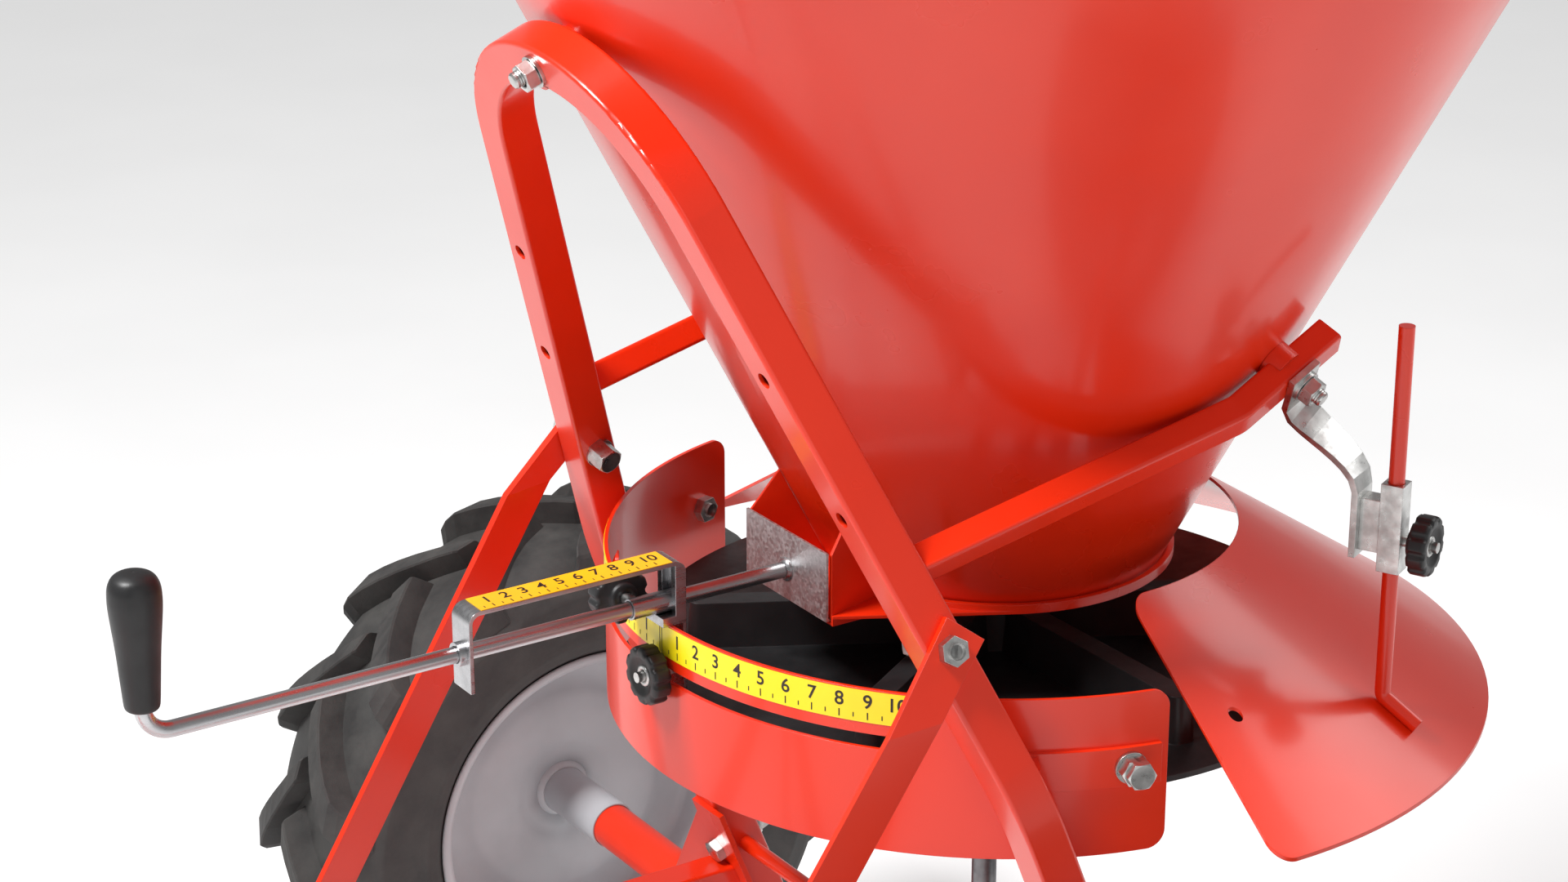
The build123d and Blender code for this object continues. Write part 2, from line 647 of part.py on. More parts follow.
def teeth(count, pitch_radius, pitch_offset, axis_way, zero_way, first):
    """All teeth of one gear."""
    for index in range(count):
        turn = first + 2 * pi * index / count
        ends = [tooth(pitch_radius, pitch_offset, turn, shrink, axis_way, zero_way) for shrink in (1.0, 1 - FACE_WIDTH)]
        loft(sections=ends, ruled=True)


CROWN_BACK = -28.0
with BuildPart() as crown_gear:
    with BuildSketch(Plane(origin=GEAR_CENTRE, x_dir=(1, 0, 0), z_dir=(0, 0, 1))) as blank:
        with BuildLine():
            Polyline(
                (AXLE_R, CROWN_BACK - 12),
                (26, CROWN_BACK - 12),
                (26, CROWN_BACK),
                (59, CROWN_BACK),
                (59.4, -17.2),
                (44, -13.3),
                (AXLE_R, -13.3),
                close=True,
            )
        make_face()
    revolve(blank.sketch, axis=AXLE_AXIS)
    teeth(CROWN_TEETH, CROWN_R, -PINION_R, Vector(0, 1, 0), Vector(0, 0, 1), pi / CROWN_TEETH)
save(crown_gear.part, "crown_gear")

with BuildPart() as pinion_gear:
    with BuildSketch(Plane(origin=GEAR_CENTRE, x_dir=(1, 0, 0), z_dir=(0, -1, 0))) as blank:
        with BuildLine():
            Polyline((6, 46), (9.4, 46), (12.4, 60), (12, 60.5), (12, 75), (6, 75), close=True)
        make_face()
    revolve(blank.sketch, axis=HOPPER_AXIS)
    teeth(PINION_TEETH, PINION_R, CROWN_R, Vector(0, 0, 1), Vector(0, -1, 0), 0)
save(pinion_gear.part, "pinion_gear")

# ---------------------------------------------------------------- guard band, its tabs and its scale
with BuildPart() as guard_band:
    with BuildSketch(SECTION.rotated((0, 0, 0))) as wall:
        with Locations((BAND_R - BAND_WALL / 2, -BAND_HEIGHT / 2)):
            Rectangle(BAND_WALL, BAND_HEIGHT)
    revolve(wall.sketch.rotate(HOPPER_AXIS, -BAND_HALF), axis=HOPPER_AXIS, revolution_arc=2 * BAND_HALF)
    corners = guard_band.edges().filter_by(lambda edge: abs(edge.length - BAND_WALL) < 0.01)
    fillet(corners, radius=14)
    with BuildSketch(SECTION) as groove:
        with Locations((BAND_R, (SLOT_TOP + SLOT_BOTTOM) / 2)):
            Rectangle(20, SLOT_TOP - SLOT_BOTTOM)
    slot_start = groove.sketch.rotate(HOPPER_AXIS, -SLOT_HALF)
    revolve(slot_start, axis=HOPPER_AXIS, revolution_arc=2 * SLOT_HALF, mode=Mode.SUBTRACT)
    for azimuth in (-SLOT_HALF, SLOT_HALF):
        end = radial_plane(BAND_R + 10, azimuth, (SLOT_TOP + SLOT_BOTTOM) / 2)
        bar(end, (SLOT_TOP - SLOT_BOTTOM) / 2, -30, mode=Mode.SUBTRACT)
    for side in SIDES.values():
        BAND_BOLT[side].drill()
    add(hoop_outline.part, mode=Mode.SUBTRACT)
save(guard_band.part, "guard_band")

TAB_THICK = 4.0
TAB_START = 55.0
TAB_END = 77.0
tabs = []
for side in SIDES.values():
    first = TAB_START if side > 0 else -TAB_END
    with BuildPart() as band_tab:
        with BuildSketch(SECTION) as flat:
            with Locations((BAND_R + TAB_THICK / 2, BOLT_LEVEL)):
                Rectangle(TAB_THICK, 30)
        revolve(flat.sketch.rotate(HOPPER_AXIS, first), axis=HOPPER_AXIS, revolution_arc=TAB_END - TAB_START)
        root = radial_plane(BAND_R + TAB_THICK / 2, side * (TAB_START + 3), BOLT_LEVEL)
        block(root, 26, 20, 22)
        add(hoop_outline.part, mode=Mode.SUBTRACT)
        BAND_BOLT[side].drill()
    tabs.append(band_tab.part.solids().sort_by(SortBy.VOLUME)[-1])
save(Compound(children=tabs), "band_tabs")

BAND_SCALE_HALF = 10.6 * SCALE_STEP
with BuildPart() as band_scale:
    with BuildSketch(SECTION) as label_strip:
        with Locations((BAND_R + SCALE_THICK / 2, -13.4)):
            Rectangle(SCALE_THICK, 24.4)
    strip_start = label_strip.sketch.rotate(HOPPER_AXIS, -BAND_SCALE_HALF)
    revolve(strip_start, axis=HOPPER_AXIS, revolution_arc=2 * BAND_SCALE_HALF)
save(band_scale.part, "band_scale")

# ---------------------------------------------------------------- deflector hangers
STRAP_WIDTH = 28.0
STRAP_R = 299.0
GUIDE_HALF = 8.5
STUD_R = 4.0
KNOB_R = 22.5
KNOB_TALL = 18.0
GUIDE_KNOB_LEVEL = 65.0
GUIDE_STUD = 26.0
straps = []
for side in SIDES.values():
    azimuth = side * GUIDE_AZIMUTH
    arm_way = (arm_point(2, side) - arm_point(1, side)).normalized()
    arm_normal = ARM_BOLT[side].head.z_dir * -1
    bolt_centre = ARM_BOLT[side].head.origin + arm_normal * (19.5 + ARM_TUBE / 2 + STRAP_LIFT + STRAP_THICK / 2)
    down = arm_way.cross(arm_normal) * (1 if arm_way.cross(arm_normal).Z < 0 else -1)
    tangent = Vector(-sin(radians(azimuth)), cos(radians(azimuth)), 0) * side
    top = bolt_centre - down * 15
    turn = bolt_centre + down * 22
    shoulder = polar(STRAP_R, azimuth, 100)
    foot = polar(STRAP_R, azimuth, 50)
    with BuildLine() as strap_line:
        Bezier(turn, turn + down * 22, shoulder + Vector(0, 0, 26), shoulder)
    stations = [(top, down, arm_way)]
    for step in range(9):
        share = step / 8
        way = strap_line.line % share
        lean = arm_way * (1 - share) + tangent * share
        lean = (lean - way * lean.dot(way)).normalized()
        stations.append((strap_line.line @ share, way, lean))
    stations.append((foot, Vector(0, 0, -1), tangent))
    with BuildPart() as strap:
        strip(stations, STRAP_WIDTH, STRAP_THICK)
        ARM_BOLT[side].drill()
    straps.append(strap.part.solids()[0])
save(Compound(children=straps), "deflector_straps")

with BuildPart() as rod_guides:
    for side in SIDES.values():
        azimuth = side * GUIDE_AZIMUTH
        angle = radians(azimuth)
        sleeve = Plane(origin=polar(GUIDE_R, azimuth, GUIDE_BOTTOM), x_dir=(cos(angle), sin(angle), 0), z_dir=(0, 0, 1))
        block(sleeve, 2 * GUIDE_HALF, 2 * GUIDE_HALF, GUIDE_TOP - GUIDE_BOTTOM)
        back = radial_plane(STRAP_R + STRAP_THICK / 2, azimuth, 75)
        block(back, 40, 16, GUIDE_R - GUIDE_HALF - STRAP_R - STRAP_THICK / 2)
        bar(radial_plane(GUIDE_R, azimuth, GUIDE_KNOB_LEVEL), STUD_R, GUIDE_HALF + GUIDE_STUD)
        bar(sleeve.offset(-5), ROD_R + GAP, 90, mode=Mode.SUBTRACT)
save(rod_guides.part, "rod_guides")


def knob(face, name):
    """Fluted hand knob with a raised boss, bored to turn on its stud."""
    with BuildPart() as piece:
        bar(face, 11, 4, bore=STUD_R + FIT)
        fluted_disc(face.offset(4), KNOB_R, KNOB_TALL - 4, 10)
        bar(face.offset(-1), STUD_R + FIT, KNOB_TALL + 2, mode=Mode.SUBTRACT)
    save(piece.part, name)


for name, side in SIDES.items():
    guide_face = radial_plane(GUIDE_R + GUIDE_HALF + 5, side * GUIDE_AZIMUTH, GUIDE_KNOB_LEVEL)
    knob(guide_face, f"deflector_knob_{name}")

# ---------------------------------------------------------------- frame fasteners
FASTENINGS = [APEX_BOLT, *ARM_BOLT.values(), *BRACE_BOLT.values(), *BAND_BOLT.values()]
FASTENINGS += [*GUSSET_BOLT.values(), *FOOT_BOLT.values(), *TONGUE_BOLTS]
with BuildPart() as frame_bolts:
    for fastening in FASTENINGS:
        fastening.bolt()
save(frame_bolts.part, "frame_bolts")

with BuildPart() as frame_washers:
    for fastening in FASTENINGS:
        bar(fastening.nut, WASHER_R, -WASHER, bore=M12_HOLE_R)
save(frame_washers.part, "frame_washers")

with BuildPart() as frame_nuts:
    for fastening in FASTENINGS:
        hexagon(fastening.nut, M12_ACROSS, M12_NUT, bore=M12_R)
save(frame_nuts.part, "frame_nuts")

# ---------------------------------------------------------------- wheels
HUB_R = 23.0
HUB_INNER = 640.0
HUB_OUTER = 735.0
SLEEVE_START = 590.0
WHEEL_SECTION = Plane(origin=at(0, 0, AXLE_RISE), x_dir=(1, 0, 0), z_dir=(0, 0, 1))


def wheel_profile(points, side):
    """Revolve radius and sideways points, measured from the wheel's middle, about the axle."""
    with BuildSketch(WHEEL_SECTION) as section:
        with BuildLine():
            Polyline(*[(radius, side * (WHEEL_Y + out)) for radius, out in points], close=True)
        make_face()
    revolve(section.sketch, axis=AXLE_AXIS)


RIM_OUTSIDE = [
    (RIM_R, -70), (RIM_R, -66), (160, -63), (157, -59), (156, -42), (150, -34), (150, 34),
    (156, 42), (157, 59), (160, 63), (RIM_R, 66), (RIM_R, 70),
]
RIM_INSIDE = [
    (157, 70), (153, 60), (152, 45), (146, 37), (146, 4), (HUB_R, 4), (HUB_R, -2), (146, -2),
    (146, -37), (152, -45), (153, -60), (157, -70),
]
TYRE_OUTSIDE = [
    (157.6, -56.5), (159.5, -60), (168, -64), (176, -73), (210, -79), (240, -79), (262, -72),
    (272, -50), (276, -20), (276, 20), (272, 50), (262, 72), (240, 79), (210, 79), (176, 73),
    (168, 64), (159.5, 60), (157.6, 56.5),
]
TYRE_INSIDE = [
    (157.6, 44), (175, 58), (212, 66), (238, 66), (252, 60), (262, 40), (264, 0), (262, -40),
    (252, -60), (238, -66), (212, -66), (175, -58), (157.6, -44),
]
TREAD_TOP = [(250, -70), (277, -77), (294, -64), (TYRE_R, -30), (TYRE_R, 30), (294, 64), (277, 77), (250, 70)]
TREAD_ROOT = [(266, 45), (269, 0), (266, -45)]
LUG_SWEEP = 24.0  # degrees of the tyre's turn from a lug's shoulder to its tip
LUG_PITCH = 360.0 / LUGS
LUG_PHASE = 12.0
LUG_PLANE_R = 236.0

for name, side in SIDES.items():
    with BuildPart() as wheel_hub:
        bore = AXLE_R + (FIT if side > 0 else 0.0)
        bar(across(side * HUB_INNER), HUB_R, side * (HUB_OUTER - HUB_INNER), bore=bore)
        bar(across(side * SLEEVE_START), HUB_R, side * (HUB_INNER - SLEEVE_START), bore=AXLE_TUBE_R + GAP)
    save(wheel_hub.part, f"wheel_hub_{name}")

    with BuildPart() as wheel_rim:
        wheel_profile(RIM_OUTSIDE + RIM_INSIDE, side)
    save(wheel_rim.part, f"wheel_rim_{name}")

    with BuildPart() as tyre:
        for half in (-1, 1):
            for index in range(LUGS):
                turn = LUG_PHASE + LUG_PITCH * (index + (0.5 if half > 0 else 0.0))
                spoke = Vector(cos(radians(turn)), 0, sin(radians(turn)))
                foot = at(0, side * WHEEL_Y, AXLE_RISE) + spoke * LUG_PLANE_R
                patch = Plane(origin=foot, x_dir=(0, side, 0), z_dir=spoke)
                reach = 262 * radians(LUG_SWEEP) * (1 if side > 0 else -1)
                with BuildSketch(patch) as outline:
                    with BuildLine():
                        Polyline(
                            (half * 80, -16),
                            (half * 40, reach * 0.36 - 15),
                            (half * -6, reach * 0.92 - 12),
                            (half * -6, reach * 0.92 + 12),
                            (half * 40, reach * 0.36 + 15),
                            (half * 80, 18),
                            close=True,
                        )
                    make_face()
                extrude(outline.sketch, amount=80)
        with BuildSketch(WHEEL_SECTION) as envelope:
            with BuildLine():
                tread = [(radius, side * (WHEEL_Y + out)) for radius, out in TREAD_TOP + TREAD_ROOT]
                Polyline(*tread, close=True)
            make_face()
        revolve(envelope.sketch, axis=AXLE_AXIS, mode=Mode.INTERSECT)
        wheel_profile(TYRE_OUTSIDE + TYRE_INSIDE, side)
    save(tyre.part, f"tyre_{name}")

AXLE_END = 752.0
with BuildPart() as drive_axle:
    bar(across(-AXLE_END), AXLE_R, 2 * AXLE_END)
    chamfer(drive_axle.edges().filter_by(GeomType.CIRCLE), length=2)
save(drive_axle.part, "drive_axle")

with BuildPart() as axle_collars:
    for side in SIDES.values():
        bar(across(side * (HUB_OUTER + 0.5)), 20, side * 12, bore=AXLE_R)
save(axle_collars.part, "axle_collars")

# ---------------------------------------------------------------- spreading disc and its shaft
DISC_BASE = -84.0
VANE_TOP = -47.0
VANE_WIDTH = 24.0
VANE_END = 237.0
VANES = 6
VANE_START = 31.0
DISC_HUB_R = 34.0
with BuildPart() as disc_shaft:
    bar(Plane(at(0, 0, AXLE_RISE + 46)), 6.0, 29)
    bar(Plane(at(0, 0, AXLE_RISE + 75)), SHAFT_R, 30 - AXLE_RISE - 75)
save(disc_shaft.part, "disc_shaft")

with BuildPart() as spreading_disc:
    base = Plane(at(0, 0, DISC_BASE - 5))
    bar(base, DISC_R, 5)
    for index in range(VANES):
        turn = radians(VANE_START + 60 * index)
        vane = Plane(origin=at(0, 0, DISC_BASE), x_dir=(cos(turn), sin(turn), 0), z_dir=(0, 0, 1))
        with BuildSketch(vane) as rib:
            with Locations((VANE_END / 2, 0)):
                RectangleRounded(VANE_END, VANE_WIDTH, 10)
        extrude(rib.sketch, amount=VANE_TOP - DISC_BASE, taper=4)
    bar(base, DISC_HUB_R, VANE_TOP - DISC_BASE + 9)
    bar(base.offset(-25), 26, 25)
    bar(base.offset(-30), SHAFT_R, 100, mode=Mode.SUBTRACT)
save(spreading_disc.part, "spreading_disc")

with BuildPart() as agitator:
    bar(Plane(at(0, 0, 6)), 22, 26, bore=SHAFT_R)
    for azimuth in (20, 140, 260):
        arm = radial_plane(20, azimuth, 19)
        bar(arm, 5, 62)
        bar(Plane(polar(77, azimuth, 8)), 5, 34)
save(agitator.part, "agitator")

# ---------------------------------------------------------------- swinging outlet under the cone
FLOOR_TOP = -3.0
FLOOR = 2.5
CIRCLE_R = 140.5
nose_corner = hypot(NOSE_X, NOSE_HALF)
tangent_turn = atan2(NOSE_HALF, NOSE_X) + acos(CIRCLE_R / nose_corner)
TANGENT = (CIRCLE_R * cos(tangent_turn), CIRCLE_R * sin(tangent_turn))
RAIL_START = 30.0
CHEEK_TURN = radians(15)
with BuildPart() as outlet_plate:
    with BuildSketch(Plane(at(0, 0, FLOOR_TOP - FLOOR))) as teardrop:
        Circle(CIRCLE_R)
        with BuildLine():
            nose = [(NOSE_X, NOSE_HALF), (NOSE_X, -NOSE_HALF)]
            Polyline((0, 0), TANGENT, *nose, (TANGENT[0], -TANGENT[1]), close=True)
        make_face()
        Circle(SHAFT_R + GAP, mode=Mode.SUBTRACT)
        with Locations((80, 0)):
            RectangleRounded(76, 80, 12, mode=Mode.SUBTRACT)
    extrude(teardrop.sketch, amount=FLOOR)
    lip = [(138.2, FLOOR_TOP), (CIRCLE_R, FLOOR_TOP), (CIRCLE_R, 1.8), (136.0, 1.8), (136.0, 0.0), (138.2, 0.0)]
    ring(lip, HOPPER_AXIS)
    for side in SIDES.values():
        with BuildSketch(Plane(at(0, 0, FLOOR_TOP - FLOOR))) as rail:
            with Locations(((RAIL_START + NOSE_X) / 2, side * (NOSE_HALF - 1.25))):
                Rectangle(NOSE_X - RAIL_START, 2.5)
        extrude(rail.sketch, amount=-5.5)
        with BuildSketch(Plane(at(0, 0, FLOOR_TOP - FLOOR - 5.5))) as lip:
            with Locations(((RAIL_START + NOSE_X) / 2, side * (NOSE_HALF - 5))):
                Rectangle(NOSE_X - RAIL_START, 10)
        extrude(lip.sketch, amount=2.3)
    for side in SIDES.values():
        rearward = Vector(-cos(CHEEK_TURN), -side * sin(CHEEK_TURN), 0)
        upright = Plane(origin=at(NOSE_X, side * 54, 0), x_dir=rearward, z_dir=rearward.cross(Vector(0, 0, 1)))
        with BuildSketch(upright) as cheek:
            with BuildLine():
                Polyline((0, FLOOR_TOP), (0, 45), (23, 75), (62, 75), (62, FLOOR_TOP), close=True)
            make_face()
        with BuildPart(mode=Mode.PRIVATE) as wing:
            extrude(cheek.sketch, amount=1.25, both=True)
            lower = [(0, FLOOR_TOP - 1), (138.2, FLOOR_TOP - 1), (138.2, 1.0)]
            upper = [(cone_radius(1.0) + GAP, 1.0), (cone_radius(90) + GAP, 90), (0, 90)]
            ring(lower + upper, HOPPER_AXIS, mode=Mode.SUBTRACT)
        add(wing.part)
save(outlet_plate.part, "outlet_plate")

# ---------------------------------------------------------------- shutter gate, its rod and grip
GATE_THICK = 2.0
GATE_TOP = 46.5
GATE_SLIDE_TOP = FLOOR_TOP - FLOOR - GAP
GATE_SHEET = 2.0
GATE_REAR = 32.0
with BuildPart() as shutter_gate:
    gate_middle = (GATE_TOP + GATE_SLIDE_TOP - GATE_SHEET) / 2
    upright = Plane(origin=at(GATE_X, 0, gate_middle), x_dir=(0, 1, 0), z_dir=(1, 0, 0))
    block(upright, 2 * GATE_HALF, GATE_TOP - GATE_SLIDE_TOP + GATE_SHEET, GATE_THICK)
    flat = Plane(at((GATE_X + GATE_REAR) / 2, 0, GATE_SLIDE_TOP))
    block(flat, GATE_X - GATE_REAR, 2 * (GATE_HALF - 0.5), -GATE_SHEET)
save(shutter_gate.part, "shutter_gate")

ROD_BEND_R = 20.0
GRIP_LOW = 36.0
GRIP_HIGH = 135.0
with BuildPart() as shutter_rod:
    start = at(GATE_X + GATE_THICK, 0, ROD_LEVEL)
    with BuildLine() as rod_line:
        FilletPolyline(start, at(GRIP_X, 0, ROD_LEVEL), at(GRIP_X, 0, GRIP_HIGH - 12), radius=ROD_BEND_R)
    with BuildSketch(Plane(origin=start, z_dir=(1, 0, 0))) as round_section:
        Circle(ROD_R)
    sweep(round_section.sketch, path=rod_line.line)
    bar(Plane(origin=start, z_dir=(1, 0, 0)), ROD_R + 1.5, 2)
save(shutter_rod.part, "shutter_rod")

with BuildPart() as rod_grip:
    with BuildSketch(Plane(origin=at(GRIP_X, 0, 0), x_dir=(1, 0, 0), z_dir=(0, -1, 0))) as outline:
        with BuildLine():
            low = Line((ROD_R, GRIP_LOW), (11, GRIP_LOW))
            side_points = [(12.2, GRIP_LOW + 4), (15, GRIP_LOW + 40), (18.2, GRIP_HIGH - 26), (17.0, GRIP_HIGH - 10)]
            side_line = Spline(low @ 1, *side_points, (0, GRIP_HIGH), tangents=((1, 1), (-1, 0)))
            Polyline(side_line @ 1, (0, GRIP_HIGH - 12), (ROD_R, GRIP_HIGH - 12), low @ 0)
        make_face()
    revolve(outline.sketch, axis=Axis(at(GRIP_X, 0, 0), (0, 0, 1)))
save(rod_grip.part, "rod_grip")

# ---------------------------------------------------------------- carrier that swings round the band
BRACKET_WIDTH = 25.0
BRACKET_SHEET = 3.0
BRACKET_OUTER = 465.0
BRACKET_INNER = 286.0
BRACKET_TOP = 50.0
BRACKET_FOOT = -12.0
HOOK_FOOT = -58.0
SLEEVE_R = 8.0
SLEEVE_END = 327.0
ROD_KNOB_X = 318.5
with BuildPart() as scale_bracket:
    face = Plane(origin=at(0, BRACKET_WIDTH / 2, 0), x_dir=(1, 0, 0), z_dir=(0, -1, 0))
    with BuildSketch(face) as side_view:
        with BuildLine() as bent:
            FilletPolyline(
                (BRACKET_OUTER - 1.5, BRACKET_FOOT),
                (BRACKET_OUTER - 1.5, BRACKET_TOP - 1.5),
                (BRACKET_INNER + 1.5, BRACKET_TOP - 1.5),
                (BRACKET_INNER + 1.5, HOOK_FOOT),
                radius=8,
            )
        trace(bent.line, line_width=BRACKET_SHEET)
    extrude(side_view.sketch, amount=BRACKET_WIDTH)
    foot_rest = Plane(at(BRACKET_INNER + BRACKET_SHEET + 8.5, 0, GAP))
    block(foot_rest, 17, BRACKET_WIDTH, 7)
    for y in (-9.5, 9.5):
        with BuildSketch(Plane(at(BRACKET_INNER + BRACKET_SHEET + 3, y, GAP + 7))) as post:
            Rectangle(6, 6)
        extrude(post.sketch, amount=BRACKET_TOP - BRACKET_SHEET - GAP - 7)
    bore_start = Plane(origin=at(BRACKET_INNER - 10, 0, ROD_LEVEL), z_dir=(1, 0, 0))
    bar(bore_start, SLEEVE_R, 60, mode=Mode.SUBTRACT)
    bar(bore_start, ROD_R + GAP, 200, mode=Mode.SUBTRACT)
    bar(Plane(origin=at(BRACKET_INNER - 10, 0, KNOB_LEVEL), z_dir=(1, 0, 0)), STUD_R, 30, mode=Mode.SUBTRACT)
save(scale_bracket.part, "scale_bracket")

with BuildPart() as bracket_scale:
    centre_x = (BRACKET_OUTER + BRACKET_INNER) / 2
    block(Plane(at(centre_x, 0, BRACKET_TOP)), BRACKET_OUTER - BRACKET_INNER - 22, BRACKET_WIDTH - 1, SCALE_THICK)
save(bracket_scale.part, "bracket_scale")

with BuildPart() as rod_sleeve:
    sleeve_start = Plane(origin=at(BRACKET_INNER, 0, ROD_LEVEL), z_dir=(1, 0, 0))
    bar(sleeve_start, SLEEVE_R, SLEEVE_END - BRACKET_INNER, bore=ROD_R + GAP)
    bar(Plane(origin=at(BRACKET_OUTER, 0, ROD_LEVEL), z_dir=(1, 0, 0)), SLEEVE_R + 1, 5, bore=ROD_R + GAP)
    bar(Plane(origin=at(ROD_KNOB_X, -5, ROD_LEVEL), z_dir=(0, -1, 0)), 5, 30, mode=Mode.SUBTRACT)
save(rod_sleeve.part, "rod_sleeve")

with BuildPart() as clamp_studs:
    bar(Plane(origin=at(BRACKET_INNER - 4, 0, KNOB_LEVEL), z_dir=(1, 0, 0)), 8, 4)
    bar(Plane(origin=at(BRACKET_INNER, 0, KNOB_LEVEL), z_dir=(1, 0, 0)), STUD_R, 322 - BRACKET_INNER)
    bar(Plane(origin=at(ROD_KNOB_X, -ROD_R - GAP, ROD_LEVEL), z_dir=(0, -1, 0)), STUD_R, 36)
    bar(Plane(origin=at(ROD_KNOB_X, -ROD_R - GAP, ROD_LEVEL), z_dir=(0, -1, 0)), 5, 10)
save(clamp_studs.part, "clamp_studs")

knob(Plane(origin=at(BAND_R + 0.6, 0, KNOB_LEVEL), z_dir=(1, 0, 0)), "swing_knob")
knob(Plane(origin=at(ROD_KNOB_X, -20, ROD_LEVEL), z_dir=(0, -1, 0)), "rod_knob")

# ---------------------------------------------------------------- sliding rear deflector
with BuildPart() as deflector_skirt:
    drop = (SKIRT_INNER_Z - SKIRT_OUTER_Z) / (SKIRT_OUTER_R - SKIRT_INNER_R)
    thick = SHEET * sqrt(1 + drop**2)
    with BuildSketch(SECTION) as sheet:
        with BuildLine():
            Polyline(
                (SKIRT_INNER_R, SKIRT_INNER_Z),
                (SKIRT_OUTER_R, SKIRT_OUTER_Z),
                (SKIRT_OUTER_R, SKIRT_OUTER_Z - thick),
                (SKIRT_INNER_R, SKIRT_INNER_Z - thick),
                close=True,
            )
        make_face()
    revolve(sheet.sketch, axis=HOPPER_AXIS)
    with BuildSketch(Plane(at(0, 0, -200))) as plan:
        Circle(SKIRT_OUTER_R)
        Circle(SKIRT_INNER_R, mode=Mode.SUBTRACT)
        reach = 600
        edge = (reach * cos(radians(SKIRT_START)), reach * sin(radians(SKIRT_START)))
        with BuildLine():
            Polyline((0, 0), edge, (reach, reach), (reach, -reach), (edge[0], -edge[1]), close=True)
        make_face(mode=Mode.SUBTRACT)
        fillet(plan.vertices(), radius=16)
    extrude(plan.sketch, amount=400, mode=Mode.INTERSECT)
    for side in SIDES.values():
        bar(Plane(polar(286, side * 91.4, -100)), 5.5, 200, mode=Mode.SUBTRACT)
save(deflector_skirt.part, "deflector_skirt")

ROD_TOP = 228.6
FOOT_R = 354.0
with BuildPart() as deflector_rods:
    for side in SIDES.values():
        azimuth = side * GUIDE_AZIMUTH
        lift = ROD_R * sqrt(1 + drop**2) + 0.1
        bend = SKIRT_INNER_Z - (GUIDE_R - SKIRT_INNER_R) * drop + lift
        tip = SKIRT_INNER_Z - (FOOT_R - SKIRT_INNER_R) * drop + lift
        with BuildLine() as rod_path:
            top = polar(GUIDE_R, azimuth, ROD_TOP)
            FilletPolyline(top, polar(GUIDE_R, azimuth, bend), polar(FOOT_R, azimuth, tip), radius=6.5)
        with BuildSketch(Plane(polar(GUIDE_R, azimuth, ROD_TOP))) as round_section:
            Circle(ROD_R)
        sweep(round_section.sketch, path=rod_path.line)
save(deflector_rods.part, "deflector_rods")
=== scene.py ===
"""Tow behind cone spreader: finishes, detailed pieces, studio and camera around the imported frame.

Metres, in the row frame: +X forward, +Y to the cart's left, +Z up. Angles in degrees unless named otherwise.
"""

import json
from math import cos, pi, radians, sin, tan

import bmesh
import bpy
import numpy as np
from mathutils import Matrix, Vector


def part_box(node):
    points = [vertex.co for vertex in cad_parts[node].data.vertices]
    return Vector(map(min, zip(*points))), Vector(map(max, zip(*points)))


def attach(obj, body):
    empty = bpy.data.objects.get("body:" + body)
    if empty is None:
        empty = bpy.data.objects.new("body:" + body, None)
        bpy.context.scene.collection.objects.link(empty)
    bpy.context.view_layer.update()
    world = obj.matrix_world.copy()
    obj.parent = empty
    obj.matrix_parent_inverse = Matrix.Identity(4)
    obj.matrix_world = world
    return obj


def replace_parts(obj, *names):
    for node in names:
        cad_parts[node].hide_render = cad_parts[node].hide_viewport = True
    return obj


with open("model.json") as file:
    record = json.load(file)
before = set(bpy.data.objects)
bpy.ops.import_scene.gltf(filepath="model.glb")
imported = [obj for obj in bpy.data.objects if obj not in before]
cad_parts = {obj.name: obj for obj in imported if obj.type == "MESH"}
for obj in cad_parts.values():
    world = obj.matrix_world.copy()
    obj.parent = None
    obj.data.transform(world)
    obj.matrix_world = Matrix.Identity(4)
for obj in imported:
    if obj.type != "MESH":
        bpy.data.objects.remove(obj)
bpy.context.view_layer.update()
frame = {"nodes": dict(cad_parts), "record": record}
NODES = frame["nodes"]

# ---------------------------------------------------------------- places, from the frame
BAND_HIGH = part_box("guard_band")[1]
CONE_LOW, CONE_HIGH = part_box("hopper_cone")
AXLE_LOW, AXLE_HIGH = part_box("drive_axle")
HOPPER_X = (CONE_LOW[0] + CONE_HIGH[0]) / 2
BAND_TOP = BAND_HIGH[2]
BAND_R = 0.300
AXLE_Z = (AXLE_LOW[2] + AXLE_HIGH[2]) / 2
SIDES = {"left": 1, "right": -1}


def at(x, y, z):
    """Point measured from the hopper's axis and the band's top edge."""
    return Vector((HOPPER_X + x, y, BAND_TOP + z))


